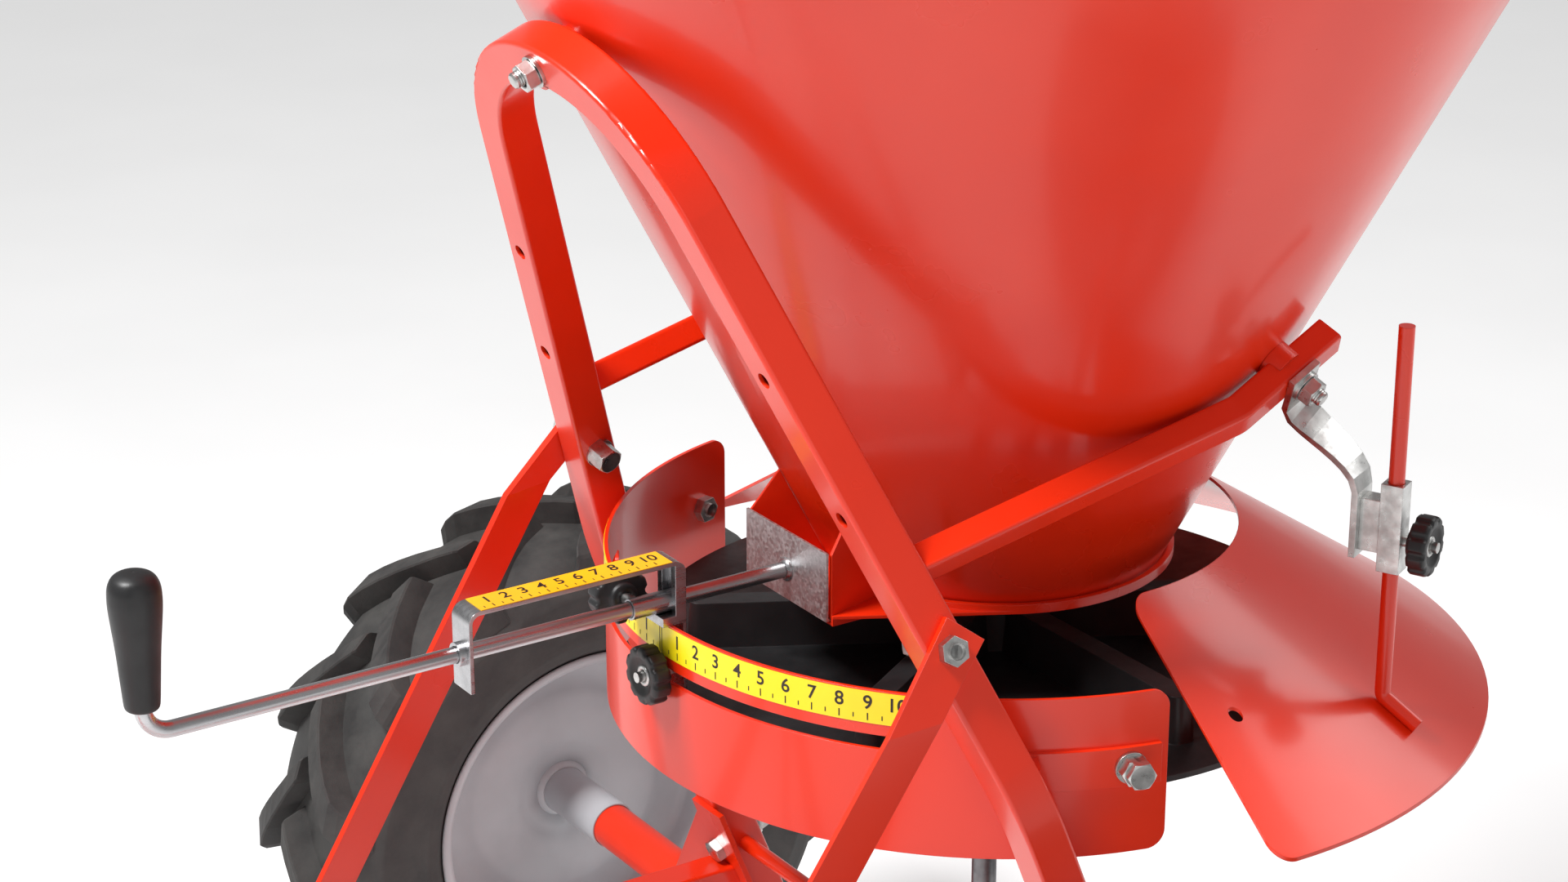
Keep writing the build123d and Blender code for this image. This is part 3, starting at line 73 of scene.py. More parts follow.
# ---------------------------------------------------------------- material tools
class Shader:
    """A node material, built up a node at a time."""

    def __init__(self, name, **values):
        self.material = bpy.data.materials.new(name)
        self.material.use_nodes = True
        self.tree = self.material.node_tree
        self.surface = self.tree.nodes["Principled BSDF"]
        for key, value in values.items():
            self.surface.inputs[key.replace("_", " ")].default_value = value
        self.place = self.node("ShaderNodeTexCoord").outputs["Object"]

    def node(self, kind, inputs=None, **settings):
        made = self.tree.nodes.new(kind)
        for key, value in settings.items():
            setattr(made, key, value)
        for key, value in (inputs or {}).items():
            if isinstance(value, bpy.types.NodeSocket):
                self.tree.links.new(value, made.inputs[key])
            else:
                made.inputs[key].default_value = value
        return made

    def noise(self, scale, detail=3.0, roughness=0.55, stretch=(1, 1, 1)):
        mapping = self.node("ShaderNodeMapping", {"Vector": self.place, "Scale": stretch})
        inputs = {"Scale": scale, "Detail": detail, "Roughness": roughness}
        return self.node("ShaderNodeTexNoise", {"Vector": mapping.outputs["Vector"], **inputs}).outputs["Fac"]

    def ramp(self, factor, low, high, start=0.35, end=0.65):
        made = self.node("ShaderNodeValToRGB", {"Fac": factor})
        made.color_ramp.elements[0].position = start
        made.color_ramp.elements[1].position = end
        made.color_ramp.elements[0].color = low
        made.color_ramp.elements[1].color = high
        return made.outputs["Color"]

    def span(self, factor, low, high, start=0.3, end=0.7):
        inputs = {"Value": factor, "From Min": start, "From Max": end, "To Min": low, "To Max": high}
        return self.node("ShaderNodeMapRange", inputs).outputs["Result"]

    def link(self, socket, value):
        self.tree.links.new(value, self.surface.inputs[socket])

    def rounded(self, radius):
        return self.node("ShaderNodeBevel", {"Radius": radius}, samples=4).outputs["Normal"]

    def bump(self, height, strength, distance, normal=None):
        inputs = {"Height": height, "Strength": strength, "Distance": distance}
        if normal is not None:
            inputs["Normal"] = normal
        made = self.node("ShaderNodeBump", inputs)
        self.link("Normal", made.outputs["Normal"])


def rgb(red, green, blue):
    """A colour from 0 to 255 screen values, made linear."""
    def linear(value):
        share = value / 255
        return share / 12.92 if share <= 0.04045 else ((share + 0.055) / 1.055) ** 2.4
    return (linear(red), linear(green), linear(blue), 1.0)


def red_paint():
    """Glossy powder coat: faint orange peel, slow colour drift, soft edges."""
    paint = Shader("red_paint", Roughness=0.34, Coat_Weight=0.35, Coat_Roughness=0.12)
    paint.link("Base Color", paint.ramp(paint.noise(4), rgb(226, 42, 8), rgb(236, 50, 12)))
    paint.link("Roughness", paint.span(paint.noise(9, 4), 0.26, 0.36))
    paint.bump(paint.noise(420, 2), 0.10, 0.0004, paint.rounded(0.0009))
    return paint.material


def zinc_steel(name, edge):
    """Bright zinc on fasteners and small steel parts; threads have no rounded edge."""
    zinc = Shader(name, Metallic=1.0, Roughness=0.32)
    zinc.link("Base Color", zinc.ramp(zinc.noise(60, 4), rgb(176, 176, 174), rgb(214, 214, 212)))
    zinc.link("Roughness", zinc.span(zinc.noise(140, 4), 0.24, 0.42))
    zinc.bump(zinc.noise(900, 3), 0.12, 0.0003, zinc.rounded(edge) if edge else None)
    return zinc.material


def bright_steel():
    """Drawn bar and bent flat steel, with fine lines along the rod."""
    steel = Shader("bright_steel", Metallic=1.0, Roughness=0.28)
    drift = steel.noise(24, 4, stretch=(0.15, 1, 1))
    steel.link("Base Color", steel.ramp(drift, rgb(168, 168, 170), rgb(204, 204, 206)))
    steel.link("Roughness", steel.span(steel.noise(300, 3, stretch=(0.03, 1, 1)), 0.22, 0.36))
    steel.bump(steel.noise(1600, 2, stretch=(0.02, 1, 1)), 0.10, 0.0002, steel.rounded(0.0008))
    return steel.material


def galvanised_steel():
    """Sheet with a small matte spangle."""
    sheet = Shader("galvanised_steel", Metallic=1.0, Roughness=0.5)
    cells = sheet.node("ShaderNodeTexVoronoi", {"Vector": sheet.place, "Scale": 420.0}).outputs["Color"]
    flakes = sheet.node("ShaderNodeSeparateColor", {"Color": cells}).outputs["Red"]
    sheet.link("Base Color", sheet.ramp(flakes, rgb(186, 186, 186), rgb(216, 216, 216), 0.0, 1.0))
    sheet.link("Roughness", sheet.span(flakes, 0.38, 0.58, 0, 1))
    sheet.bump(sheet.noise(700, 4), 0.18, 0.0003, sheet.rounded(0.0005))
    return sheet.material


def printed_strip(name, base, edge):
    """Printed scale strip under a satin film."""
    strip = Shader(name, Roughness=0.38, Coat_Weight=0.25, Coat_Roughness=0.2)
    strip.link("Base Color", strip.ramp(strip.noise(14), base, edge))
    strip.link("Roughness", strip.span(strip.noise(90, 4), 0.34, 0.44))
    strip.bump(strip.noise(500, 2), 0.05, 0.0002)
    return strip.material


def black_plastic():
    """Moulded black plastic with a fine satin grain."""
    plastic = Shader("black_plastic", Roughness=0.42)
    plastic.link("Base Color", plastic.ramp(plastic.noise(18, 4), rgb(24, 24, 25), rgb(36, 36, 37)))
    plastic.link("Roughness", plastic.span(plastic.noise(60, 5), 0.36, 0.52))
    plastic.bump(plastic.noise(1400, 3), 0.20, 0.0003, plastic.rounded(0.0012))
    return plastic.material


def grey_enamel():
    """Pale grey wheel paint, satin, with a faint powdery drift."""
    enamel = Shader("grey_enamel", Roughness=0.45, Coat_Weight=0.15, Coat_Roughness=0.3)
    enamel.link("Base Color", enamel.ramp(enamel.noise(7, 4), rgb(172, 174, 178), rgb(190, 192, 196)))
    enamel.link("Roughness", enamel.span(enamel.noise(30, 4), 0.40, 0.54))
    enamel.bump(enamel.noise(500, 2), 0.10, 0.0003, enamel.rounded(0.0012))
    return enamel.material


def tyre_rubber():
    """Dull grey-black tread rubber, with dusty patches at random."""
    rubber = Shader("tyre_rubber", Roughness=0.72)
    dust = rubber.noise(26, 6, 0.65)
    rubber.link("Base Color", rubber.ramp(dust, rgb(46, 45, 45), rgb(76, 75, 73), 0.3, 0.75))
    rubber.link("Roughness", rubber.span(dust, 0.62, 0.84))
    rubber.bump(rubber.noise(300, 6, 0.7), 0.30, 0.0008)
    return rubber.material


def cast_housing():
    """Sand-cast iron under thin black paint."""
    iron = Shader("cast_housing", Metallic=0.3, Roughness=0.6)
    iron.link("Base Color", iron.ramp(iron.noise(35, 5), rgb(46, 46, 47), rgb(66, 66, 67)))
    iron.link("Roughness", iron.span(iron.noise(80, 5), 0.5, 0.75))
    iron.bump(iron.noise(260, 5, 0.7), 0.45, 0.0007, iron.rounded(0.002))
    return iron.material


def machined_steel():
    """Oiled steel of the shafts and gears."""
    steel = Shader("machined_steel", Metallic=1.0, Roughness=0.34)
    steel.link("Base Color", steel.ramp(steel.noise(40, 4), rgb(92, 92, 94), rgb(132, 132, 134)))
    steel.link("Roughness", steel.span(steel.noise(120, 4), 0.28, 0.46))
    steel.bump(steel.noise(900, 2, stretch=(1, 1, 0.1)), 0.10, 0.0002, steel.rounded(0.0006))
    return steel.material


def bronze():
    """Sintered bronze of the bushes."""
    metal = Shader("bronze", Metallic=1.0, Roughness=0.4)
    metal.link("Base Color", metal.ramp(metal.noise(80, 4), rgb(150, 112, 58), rgb(178, 138, 78)))
    metal.bump(metal.noise(1200, 3), 0.15, 0.0002)
    return metal.material


def scale_ink():
    """Dark printing on the scales."""
    ink = Shader("scale_ink", Roughness=0.5)
    ink.link("Base Color", ink.ramp(ink.noise(200), rgb(38, 30, 24), rgb(58, 46, 36)))
    return ink.material


FINISHES = {
    "red_paint": red_paint(),
    "zinc_steel": zinc_steel("zinc_steel", 0.0006),
    "bright_steel": bright_steel(),
    "galvanised_steel": galvanised_steel(),
    "yellow_scale": printed_strip("yellow_scale", rgb(250, 226, 14), rgb(254, 234, 24)),
    "amber_scale": printed_strip("amber_scale", rgb(246, 188, 10), rgb(252, 200, 22)),
    "black_plastic": black_plastic(),
    "grey_enamel": grey_enamel(),
    "tyre_rubber": tyre_rubber(),
    "cast_housing": cast_housing(),
    "machined_steel": machined_steel(),
    "bronze": bronze(),
}
INK = scale_ink()
THREAD_ZINC = zinc_steel("thread_zinc", None)

for part in frame["record"]["subparts"]:
    cad = NODES[part["node"]]
    cad.data.materials.clear()
    cad.data.materials.append(FINISHES[part["material_slot"]])


# ---------------------------------------------------------------- mesh tools
MM = 0.001
THREAD_PITCH = 1.75


def piece(name, mesh, body, slot, material=None):
    """Put a finished mesh in the scene, riding on a body."""
    made = bpy.data.objects.new(name, mesh)
    bpy.context.scene.collection.objects.link(made)
    mesh.materials.append(material or FINISHES[slot])
    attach(made, body)
    return made


def to_mesh(bm, name, smooth=True):
    """Turn a bmesh into a mesh with outward normals."""
    bmesh.ops.recalc_face_normals(bm, faces=bm.faces)
    for face in bm.faces:
        face.smooth = smooth
    mesh = bpy.data.meshes.new(name)
    bm.to_mesh(mesh)
    bm.free()
    return mesh


def frame_matrix(origin, way, up=Vector((0, 0, 1))):
    """Matrix that takes local +Z to a direction, from an origin."""
    way = way.normalized()
    if abs(way.dot(up)) > 0.99:
        up = Vector((1, 0, 0))
    side = up.cross(way).normalized()
    over = way.cross(side)
    return Matrix.Translation(origin) @ Matrix((side, over, way)).transposed().to_4x4()


def rings(bm, levels, matrix, loop=False):
    """Join rings of points into a skin: capped at both ends, or with its last ring joined to its first."""
    made = [[bm.verts.new(matrix @ Vector(point)) for point in level] for level in levels]
    count = len(made[0])
    above = [*made[1:], made[0]] if loop else made[1:]
    for lower, upper in zip(made, above):
        for i in range(count):
            j = (i + 1) % count
            bm.faces.new((lower[i], lower[j], upper[j], upper[i]))
    if not loop:
        bm.faces.new(list(reversed(made[0])))
        bm.faces.new(made[-1])


def ring(angles, radius, height):
    """Ring of points about local Z; radius and height are numbers, or functions of the angle."""
    def value(given, angle):
        return given(angle) if callable(given) else given

    return [(value(radius, a) * cos(a), value(radius, a) * sin(a), value(height, a)) for a in angles]


def circle_angles(steps):
    """Evenly spaced angles round a circle."""
    return [2 * pi * i / steps for i in range(steps)]


def lathe(bm, profile, matrix, steps=64, loop=False):
    """Turn radius and height points about local Z; a loop joins its last point to its first."""
    rings(bm, [ring(circle_angles(steps), *point) for point in profile], matrix, loop)


def threaded_end(bm, matrix, radius, start, end):
    """Shank with thread crests from a start to a chamfered end, in millimetres."""
    profile = [(radius, 0.0), (radius, start)]
    height = start
    while height + THREAD_PITCH < end - 1.0:
        profile += [(radius * 0.94, height + THREAD_PITCH / 2), (radius * 0.998, height + THREAD_PITCH)]
        height += THREAD_PITCH
    profile += [(radius * 0.98, end - 1.2), (radius * 0.80, end)]
    lathe(bm, profile, matrix, 32)


def islands(node):
    """The separate solids of a CAD node: each one's centre and points."""
    mesh = NODES[node].data
    points = np.array([vertex.co[:] for vertex in mesh.vertices])
    keys = {}
    merged = np.array([keys.setdefault(tuple(np.round(point, 6)), len(keys)) for point in points])
    parent = list(range(len(keys)))

    def root(item):
        while parent[item] != item:
            parent[item] = parent[parent[item]]
            item = parent[item]
        return item

    for edge in mesh.edges:
        a, b = root(merged[edge.vertices[0]]), root(merged[edge.vertices[1]])
        parent[a] = b
    groups = {}
    for index, key in enumerate(merged):
        groups.setdefault(root(key), []).append(index)
    found = []
    for members in groups.values():
        cloud = points[members]
        unique = np.unique(np.round(cloud, 6), axis=0)
        centre = (unique.min(0) + unique.max(0)) / 2
        found.append((Vector(centre), unique))
    return found


def long_axis(cloud):
    """Direction in which a cloud of points is longest."""
    return Vector(np.linalg.eigh(np.cov((cloud - cloud.mean(0)).T))[1][:, 2])


def about_axis(centre, axis, cloud):
    """Heights and radii of points about an axis, and the way square to it that points to the furthest one."""
    offsets = cloud - np.array(centre)
    heights = offsets @ np.array(axis)
    radii = np.linalg.norm(offsets - np.outer(heights, np.array(axis)), axis=1)
    corner = Vector(offsets[int(np.argmax(radii))])
    return heights, radii, corner - axis * corner.dot(axis)


def in_mm(matrix):
    """The same place, for a shape drawn in millimetres."""
    return matrix @ Matrix.Scale(MM, 4)


# ---------------------------------------------------------------- tyres and rims
WHEEL_Y = 690
TYRE_SKIN = [(157.6, -56.5), (159.5, -60), (166, -64), (172, -70), (178, -75), (184, -76.5),
             (187, -79), (191, -79), (194, -77.5), (212, -79.5), (230, -80), (234, -81.5),
             (238, -81.5), (241, -79.5), (254, -75.5),
             (263, -71), (269, -62), (272, -50), (275, -34), (276, -18), (276, 18), (275, 34), (272, 50),
             (269, 62), (263, 71), (254, 75.5), (241, 79.5), (238, 81.5), (234, 81.5), (230, 80), (212, 79.5),
             (194, 77.5), (191, 79), (187, 79), (184, 76.5), (178, 75), (172, 70), (166, 64), (159.5, 60),
             (157.6, 56.5), (157.6, 44), (175, 58), (212, 66), (238, 66), (252, 60), (262, 40), (264, 0),
             (262, -40), (252, -60), (238, -66), (212, -66), (175, -58), (157.6, -44)]
RIM_SKIN = [(167, -70), (168, -68), (167, -66), (162, -64), (158.5, -61), (157, -58), (156.4, -42),
            (155, -39), (151, -35), (150, -32), (150, 32), (151, 35), (155, 39), (156.4, 42),
            (157, 58), (158.5, 61),
            (162, 64), (167, 66), (168, 68), (167, 70), (160, 68), (155.5, 64), (153.4, 58), (152.4, 45),
            (150.4, 41), (147.4, 38), (146, 34), (146, 11), (143, 6.5), (137, 4), (112, 3.2), (104, -1),
            (96, -3.5), (60, -3.5), (50, 0), (42, 4), (23, 4), (23, -2), (41, -2), (49, -6), (59, -9.5),
            (97, -9.5), (106, -6.5), (114, -2.6), (136, -2), (143, -5), (146, -10), (146, -34), (147.4, -38),
            (150.4, -41), (152.4, -45), (153.4, -58), (155.5, -64), (160, -68)]
LUGS = 14
LUG_PHASE = 12.0
LUG_REACH = 262 * radians(24)
# Along a lug: offset across the tread, top radius, root radius, share of the reach, half width.
LUG_STATIONS = [(78.6, 273.5, 247, 0.0, 14.6), (77.4, 277.6, 245, 0.0, 16.6), (72, 285.5, 257, 0.03, 16.8),
                (64, 293.6, 266, 0.10, 16.4), (52, 297, 270, 0.23, 15.6), (40, 299, 272, 0.36, 15.0),
                (28, 299.8, 273, 0.50, 14.2), (16, 300, 273.5, 0.64, 13.4), (4, 300, 273.5, 0.80, 12.6),
                (-4.6, 299.6, 273.5, 0.91, 12.0), (-6.2, 297.8, 273.5, 0.93, 10.2)]
LUG_EDGE = 1.8
LUG_DRAFT = 3.2


def wheel_matrix(side):
    """Local Z runs outward along the axle from the wheel's middle, in millimetres."""
    origin = Vector((HOPPER_X, side * WHEEL_Y * MM, AXLE_Z))
    return in_mm(frame_matrix(origin, Vector((0, side, 0)), Vector((1, 0, 0))))


def lug(bm, side, half, turn):
    """One bevelled tread bar, from the shoulder to just past the tread's middle."""
    spoke = Vector((cos(turn), 0, sin(turn)))
    along = Vector((-sin(turn), 0, cos(turn)))
    levels = []
    for out, top, root, share, wide in LUG_STATIONS:
        section = []
        for offset, radius in ((-wide - LUG_DRAFT, root), (-wide, top - LUG_EDGE), (-wide + LUG_EDGE, top),
                               (wide - LUG_EDGE, top), (wide, top - LUG_EDGE), (wide + LUG_DRAFT, root)):
            reach = LUG_REACH * share + offset
            point = spoke * (radius ** 2 - reach ** 2) ** 0.5 + along * reach
            point.y = side * (WHEEL_Y + half * out)
            section.append(point)
        levels.append(section)
    rings(bm, levels, in_mm(Matrix.Translation((HOPPER_X, 0, AXLE_Z))))


def wheel(name, side):
    """Tyre carcass, tread bars, rim and the hub's weld bead."""
    body = f"wheel_{name}"
    carcass = bmesh.new()
    lathe(carcass, TYRE_SKIN, wheel_matrix(side), 160, loop=True)
    skin = piece(f"tyre_carcass_{name}", to_mesh(carcass, "carcass"), body, "tyre_rubber")
    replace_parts(skin, f"tyre_{name}")
    tread = bmesh.new()
    for half in (-1, 1):
        for index in range(LUGS):
            lug(tread, side, half, radians(LUG_PHASE + 360 / LUGS * (index + (0.5 if half > 0 else 0.0))))
    piece(f"tyre_tread_{name}", to_mesh(tread, "tread", smooth=False), body, "tyre_rubber")
    dish = bmesh.new()
    lathe(dish, RIM_SKIN, wheel_matrix(side), 160, loop=True)
    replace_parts(piece(f"rim_{name}", to_mesh(dish, "rim"), body, "grey_enamel"), f"wheel_rim_{name}")
    bead = bmesh.new()
    for inward in (1, -1):
        face = 4 if inward > 0 else -2
        profile = [(22.9, face - inward * 1.5), (22.9, face + inward * 5.5), (24.6, face + inward * 4.6),
                   (26.9, face + inward * 2.6), (28.6, face - inward * 0.4), (28.6, face - inward * 1.5)]
        lathe(bead, profile, wheel_matrix(side), 96, loop=True)
    piece(f"hub_weld_{name}", to_mesh(bead, "weld"), body, "grey_enamel")


for name, side in SIDES.items():
    wheel(name, side)


# ---------------------------------------------------------------- hand knobs and grip
KNOB_R = 22.5
FLUTES = 10
FLUTE_CENTRE = 24.0
FLUTE_R = 3.6
# Radius and height of the knob's levels; along its fluted edge, inset and height.
KNOB_BOSS = ((4.3, 0), (10.6, 0), (11, 0.5), (11, 3.6), (11.6, 4))
KNOB_EDGE = ((2.2, 4), (0.8, 4.3), (0.1, 5.2), (0, 7), (0, 15), (0.35, 16.4), (1.2, 17.4), (2.6, 18))
KNOB_DISH = ((16, 18), (14.6, 17.7), (13.8, 16.9), (9.6, 15.4), (8.4, 15.0), (4.3, 15.0))
KNOB_INSERT = ((8.0, 12), (8.0, 15.5), (7.4, 16.0), (4.3, 16.0), (4.3, 12))


def knob_radius(angle, inset):
    """Edge of the fluted knob, pulled in by an inset."""
    pitch = 2 * pi / FLUTES
    turn = (angle + pitch / 2) % pitch - pitch / 2
    chord = FLUTE_R ** 2 - (FLUTE_CENTRE * sin(turn)) ** 2
    wall = KNOB_R if chord <= 0 else min(KNOB_R, FLUTE_CENTRE * cos(turn) - chord ** 0.5)
    return wall - inset


def knob(name, origin, way, body):
    """Fluted knob with a dished face and the stud's end showing in it."""
    matrix = in_mm(frame_matrix(origin, way))
    bm = bmesh.new()
    edge = [(lambda angle, inset=inset: knob_radius(angle, inset), height) for inset, height in KNOB_EDGE]
    angles = circle_angles(FLUTES * 20)
    rings(bm, [ring(angles, *level) for level in (*KNOB_BOSS, *edge, *KNOB_DISH)], matrix, loop=True)
    shell = piece(f"{name}_shell", to_mesh(bm, name), body, "black_plastic")
    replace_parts(shell, name)
    insert = bmesh.new()
    lathe(insert, KNOB_INSERT, matrix, 48, loop=True)
    piece(f"{name}_insert", to_mesh(insert, "insert"), body, "zinc_steel")


def catmull(points):
    """Smooth line through radius and height points, six steps to each gap."""
    made = []
    ends = [points[0], *points, points[-1]]
    for p0, p1, p2, p3 in zip(ends, ends[1:], ends[2:], ends[3:]):
        for step in range(6):
            t = step / 6
            made.append(tuple(0.5 * (2 * b + (c - a) * t + (2 * a - 5 * b + 4 * c - d) * t ** 2
                                     + (3 * b - a - 3 * c + d) * t ** 3)
                              for a, b, c, d in zip(p0, p1, p2, p3)))
    return [*made, points[-1]]


GUIDE_AZIMUTH = 116.3
GUIDE_KNOB_R = 0.3385
GUIDE_KNOB_Z = 0.065
ROD_LEVEL = 0.0156
GATE_FACE_X = 0.191
GRIP_X = 0.706
knob("swing_knob", at(0.3006, 0, -0.040), Vector((1, 0, 0)), "swing_knob")
knob("rod_knob", at(0.3185, -0.020, ROD_LEVEL), Vector((0, -1, 0)), "rod_knob")
for name, side in SIDES.items():
    azimuth = radians(side * GUIDE_AZIMUTH)
    outward = Vector((cos(azimuth), sin(azimuth), 0))
    face = at(0, 0, GUIDE_KNOB_Z) + outward * GUIDE_KNOB_R
    knob(f"deflector_knob_{name}", face, outward, f"deflector_knob_{name}")

grip = bmesh.new()
GRIP_SIDE = [(11, 36), (12, 37.5), (12.6, 42), (13.6, 56), (15.2, 78), (17.2, 98), (18.2, 109), (18.4, 117),
             (17.6, 125), (14.6, 131), (9.5, 134), (4, 135), (0.4, 135)]
grip_line = [(6.05, 37), (6.4, 36), *catmull(GRIP_SIDE), (0.4, 122), (6.05, 122)]
lathe(grip, grip_line, in_mm(Matrix.Translation(at(GRIP_X, 0, 0))), 72, loop=True)
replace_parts(piece("grip_moulding", to_mesh(grip, "grip"), "shutter", "black_plastic"), "rod_grip")

seam = bmesh.new()
SEAM_SIDE = [(5.9, -0.4), (9.4, -0.4), (9.2, 0.8), (8.2, 1.9), (7.0, 2.8), (5.9, 3.6)]
seam_place = frame_matrix(at(GATE_FACE_X, 0, ROD_LEVEL), Vector((1, 0, 0)))
lathe(seam, SEAM_SIDE, in_mm(seam_place), 48, loop=True)
piece("rod_weld", to_mesh(seam, "seam"), "shutter", "bright_steel")


# ---------------------------------------------------------------- bolts and nuts
BOLT_R = 6.0
NUT_BORE_R = 6.05
NUT_SINK_R = 6.9
NUT_SINK = 0.6
THREAD_LENGTH = 26
HEX_ACROSS = 19.0
HEX_FACE_R = HEX_ACROSS * 0.475
HEX_ANGLES = circle_angles(48)


def hex_radius(angle):
    """Distance from a hexagon's centre to its edge."""
    return HEX_ACROSS / 2 / cos((angle + pi / 6) % (pi / 3) - pi / 6)


def hex_drop(angle):
    """How far the chamfer brings down the hexagon's edge."""
    return (hex_radius(angle) - HEX_FACE_R) * tan(radians(28))


def hexagon(bm, matrix, levels, height, loop=False):
    """Hexagon with a chamfered top, above the levels given."""
    top = ((hex_radius, lambda angle: height - hex_drop(angle)), (HEX_FACE_R, height))
    bored = ((NUT_SINK_R, height), (NUT_BORE_R, height - NUT_SINK)) if loop else ()
    rings(bm, [ring(HEX_ANGLES, *level) for level in (*levels, *top, *bored)], matrix, loop)


bolts = bmesh.new()
shanks = bmesh.new()
bolt_lines = []
for centre, cloud in islands("frame_bolts"):
    axis = long_axis(cloud)
    heights, radii, corner = about_axis(centre, axis, cloud)
    head = heights[radii > 1.3 * BOLT_R * MM]
    if abs(head.max()) < abs(head.min()):
        axis, heights, head = -axis, -heights, -head
    under = centre + axis * float(head.min())
    bolt_lines.append((centre, axis))
    thick = float(head.max() - head.min()) / MM
    hexagon(bolts, in_mm(frame_matrix(under, axis, corner)), [(hex_radius, 0)], thick)
    length = float(head.min() - heights.min()) / MM
    shank = in_mm(frame_matrix(under + axis * MM, -axis, corner))
    threaded_end(shanks, shank, BOLT_R - 0.02, max(length - THREAD_LENGTH, 4.0), length + 1)
piece("bolt_shanks", to_mesh(shanks, "shanks", smooth=False), "frame", "zinc_steel", THREAD_ZINC)
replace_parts(piece("bolts_m12", to_mesh(bolts, "bolts", smooth=False), "frame", "zinc_steel"), "frame_bolts")

NUT_FOOT = [(NUT_BORE_R, NUT_SINK), (NUT_SINK_R, 0), (HEX_FACE_R, 0), (hex_radius, hex_drop)]
nuts = bmesh.new()
for centre, cloud in islands("frame_nuts"):
    def off_line(line):
        gap = centre - line[0]
        return (gap - line[1] * gap.dot(line[1])).length

    axis = min(bolt_lines, key=off_line)[1]
    heights, _, corner = about_axis(centre, axis, cloud)
    place = in_mm(frame_matrix(centre + axis * float(heights.min()), axis, corner))
    hexagon(nuts, place, NUT_FOOT, float(heights.max() - heights.min()) / MM, loop=True)
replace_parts(piece("nuts_m12", to_mesh(nuts, "nuts", smooth=False), "frame", "zinc_steel"), "frame_nuts")


# ---------------------------------------------------------------- printed scales
SCALE_STEP = radians(4.087)
INK_LIFT = 0.00012
INK_THICK = 0.00004


def digits(text, size):
    """Flat, slightly thick mesh of a number, centred on its own middle."""
    curve = bpy.data.curves.new("number", "FONT")
    curve.body, curve.size, curve.extrude = text, size, INK_THICK
    curve.align_x, curve.align_y = "CENTER", "CENTER"
    curve.offset = size * 0.012
    holder = bpy.data.objects.new("number", curve)
    bpy.context.scene.collection.objects.link(holder)
    bpy.context.view_layer.update()
    mesh = bpy.data.meshes.new_from_object(holder.evaluated_get(bpy.context.evaluated_depsgraph_get()))
    bpy.data.objects.remove(holder)
    return mesh


def stroke(bm, u, v, wide, tall):
    """Flat printed line centred at u, v."""
    made = bmesh.ops.create_cube(bm, size=1)["verts"]
    for vertex in made:
        vertex.co = Vector((u + vertex.co.x * wide, v + vertex.co.y * tall, vertex.co.z * 2 * INK_THICK))


def printed(name, numbers, strokes, place, body):
    """Join numbers and lines in the strip's plane, then lay them on the strip."""
    bm = bmesh.new()
    for text, u, v, size in numbers:
        mesh = digits(text, size)
        mesh.transform(Matrix.Translation((u, v, 0)))
        bm.from_mesh(mesh)
    for u, v, wide, tall in strokes:
        stroke(bm, u, v, wide, tall)
    bmesh.ops.subdivide_edges(bm, edges=[e for e in bm.edges if e.calc_length() > 0.004], cuts=3)
    for vertex in bm.verts:
        vertex.co = place(vertex.co)
    piece(name, to_mesh(bm, name, smooth=False), body, "black_plastic", INK)


def on_band(flat):
    """Lay a point of the strip's plane on the band's outside."""
    radius = BAND_R + 0.0005 + INK_LIFT + flat.z
    azimuth = flat.x / BAND_R
    return at(radius * cos(azimuth), radius * sin(azimuth), -0.0134 + flat.y)


def on_bracket(flat):
    """Lay a point of the strip's plane on the bracket's top."""
    return at(0.3755 - flat.x, -flat.y, 0.0505 + INK_LIFT + flat.z)


STEP = SCALE_STEP * BAND_R
band_numbers, band_strokes = [], []
for mark in range(1, 11):
    for way in (-1, 1):
        band_numbers.append((str(mark), way * mark * STEP, 0.0032, 0.0148))
        band_strokes.append((way * mark * STEP, -0.0073, 0.0009, 0.0056))
        band_strokes.append((way * (mark - 0.5) * STEP, -0.0073, 0.0008, 0.0034))
band_strokes += [(-0.0014, 0, 0.0007, 0.0225), (0.0014, 0, 0.0007, 0.0225)]
printed("band_scale_print", band_numbers, band_strokes, on_band, "frame")

BRACKET_PITCH = 0.0148
bracket_numbers, bracket_strokes = [], []
for mark in range(1, 11):
    place = (mark - 5.5) * BRACKET_PITCH
    bracket_numbers.append((str(mark), place, 0.0026, 0.0142))
    bracket_strokes.append((place, -0.0076, 0.0009, 0.0046))
    bracket_strokes.append((place - BRACKET_PITCH / 2, -0.0078, 0.0007, 0.0028))
printed("bracket_scale_print", bracket_numbers, bracket_strokes, on_bracket, "carrier")


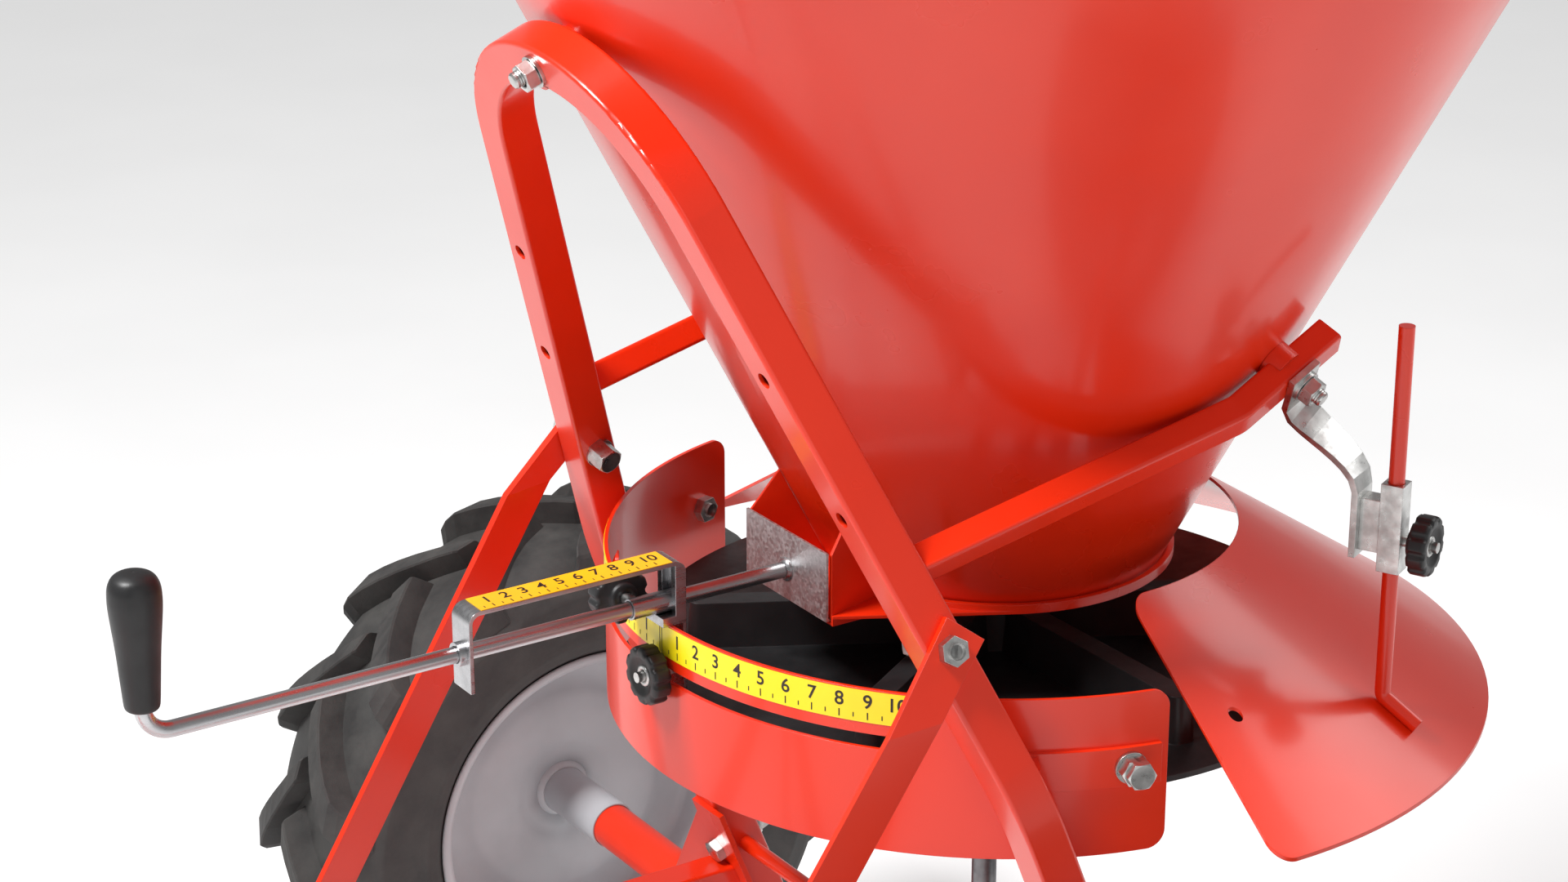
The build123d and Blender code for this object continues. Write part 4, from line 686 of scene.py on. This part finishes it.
# ---------------------------------------------------------------- floor, light and camera
def stage_material():
    """Pale matte studio paper."""
    glow = {"Emission_Color": (1.0, 1.0, 1.0, 1.0), "Emission_Strength": 0.34}
    paper = Shader("studio_paper", Roughness=0.9, **glow)
    paper.link("Base Color", paper.ramp(paper.noise(2), rgb(228, 228, 228), rgb(232, 232, 232)))
    return paper.material


bpy.ops.mesh.primitive_plane_add(size=60, location=(0, 0, 0))
floor = bpy.context.object
floor.name = "studio_floor"
floor.data.materials.append(stage_material())

world = bpy.data.worlds.new("studio")
world.use_nodes = True
surround = world.node_tree.nodes["Background"].inputs
surround["Color"].default_value = (1.0, 1.0, 1.0, 1.0)
surround["Strength"].default_value = 0.30
bpy.context.scene.world = world


def softbox(name, place, target, size, power):
    """Square area light aimed at a point."""
    lamp = bpy.data.lights.new(name, "AREA")
    lamp.shape, lamp.size, lamp.energy = "SQUARE", size, power
    holder = bpy.data.objects.new(name, lamp)
    bpy.context.scene.collection.objects.link(holder)
    holder.location = place
    holder.rotation_euler = (Vector(target) - Vector(place)).to_track_quat("-Z", "Y").to_euler()


softbox("key", (1.9, -0.3, 4.0), (HOPPER_X, 0, 0.9), 0.9, 190)
softbox("fill", (0.6, 4.2, 1.6), (HOPPER_X, 0, 0.8), 2.6, 16)
softbox("back", (-3.4, 0.8, 3.0), (HOPPER_X, 0, 0.9), 2.0, 40)

CAMERA_PLACE = Vector((1.0608, 2.0241, 1.8625))
CAMERA_FORWARD = Vector((-0.5123, -0.7795, -0.3605)).normalized()
CAMERA_RIGHT = Vector((-0.8357, 0.5492, 0.0)).normalized()
CAMERA_UP = CAMERA_RIGHT.cross(CAMERA_FORWARD)
lens = bpy.data.cameras.new("camera")
lens.lens, lens.sensor_width, lens.clip_end = 81.14, 36.0, 100.0
camera = bpy.data.objects.new("camera", lens)
bpy.context.scene.collection.objects.link(camera)
turned = Matrix((CAMERA_RIGHT, CAMERA_UP, -CAMERA_FORWARD)).transposed().to_4x4()
camera.matrix_world = Matrix.Translation(CAMERA_PLACE) @ turned
bpy.context.scene.camera = camera
bpy.context.scene.view_settings.view_transform = "Standard"
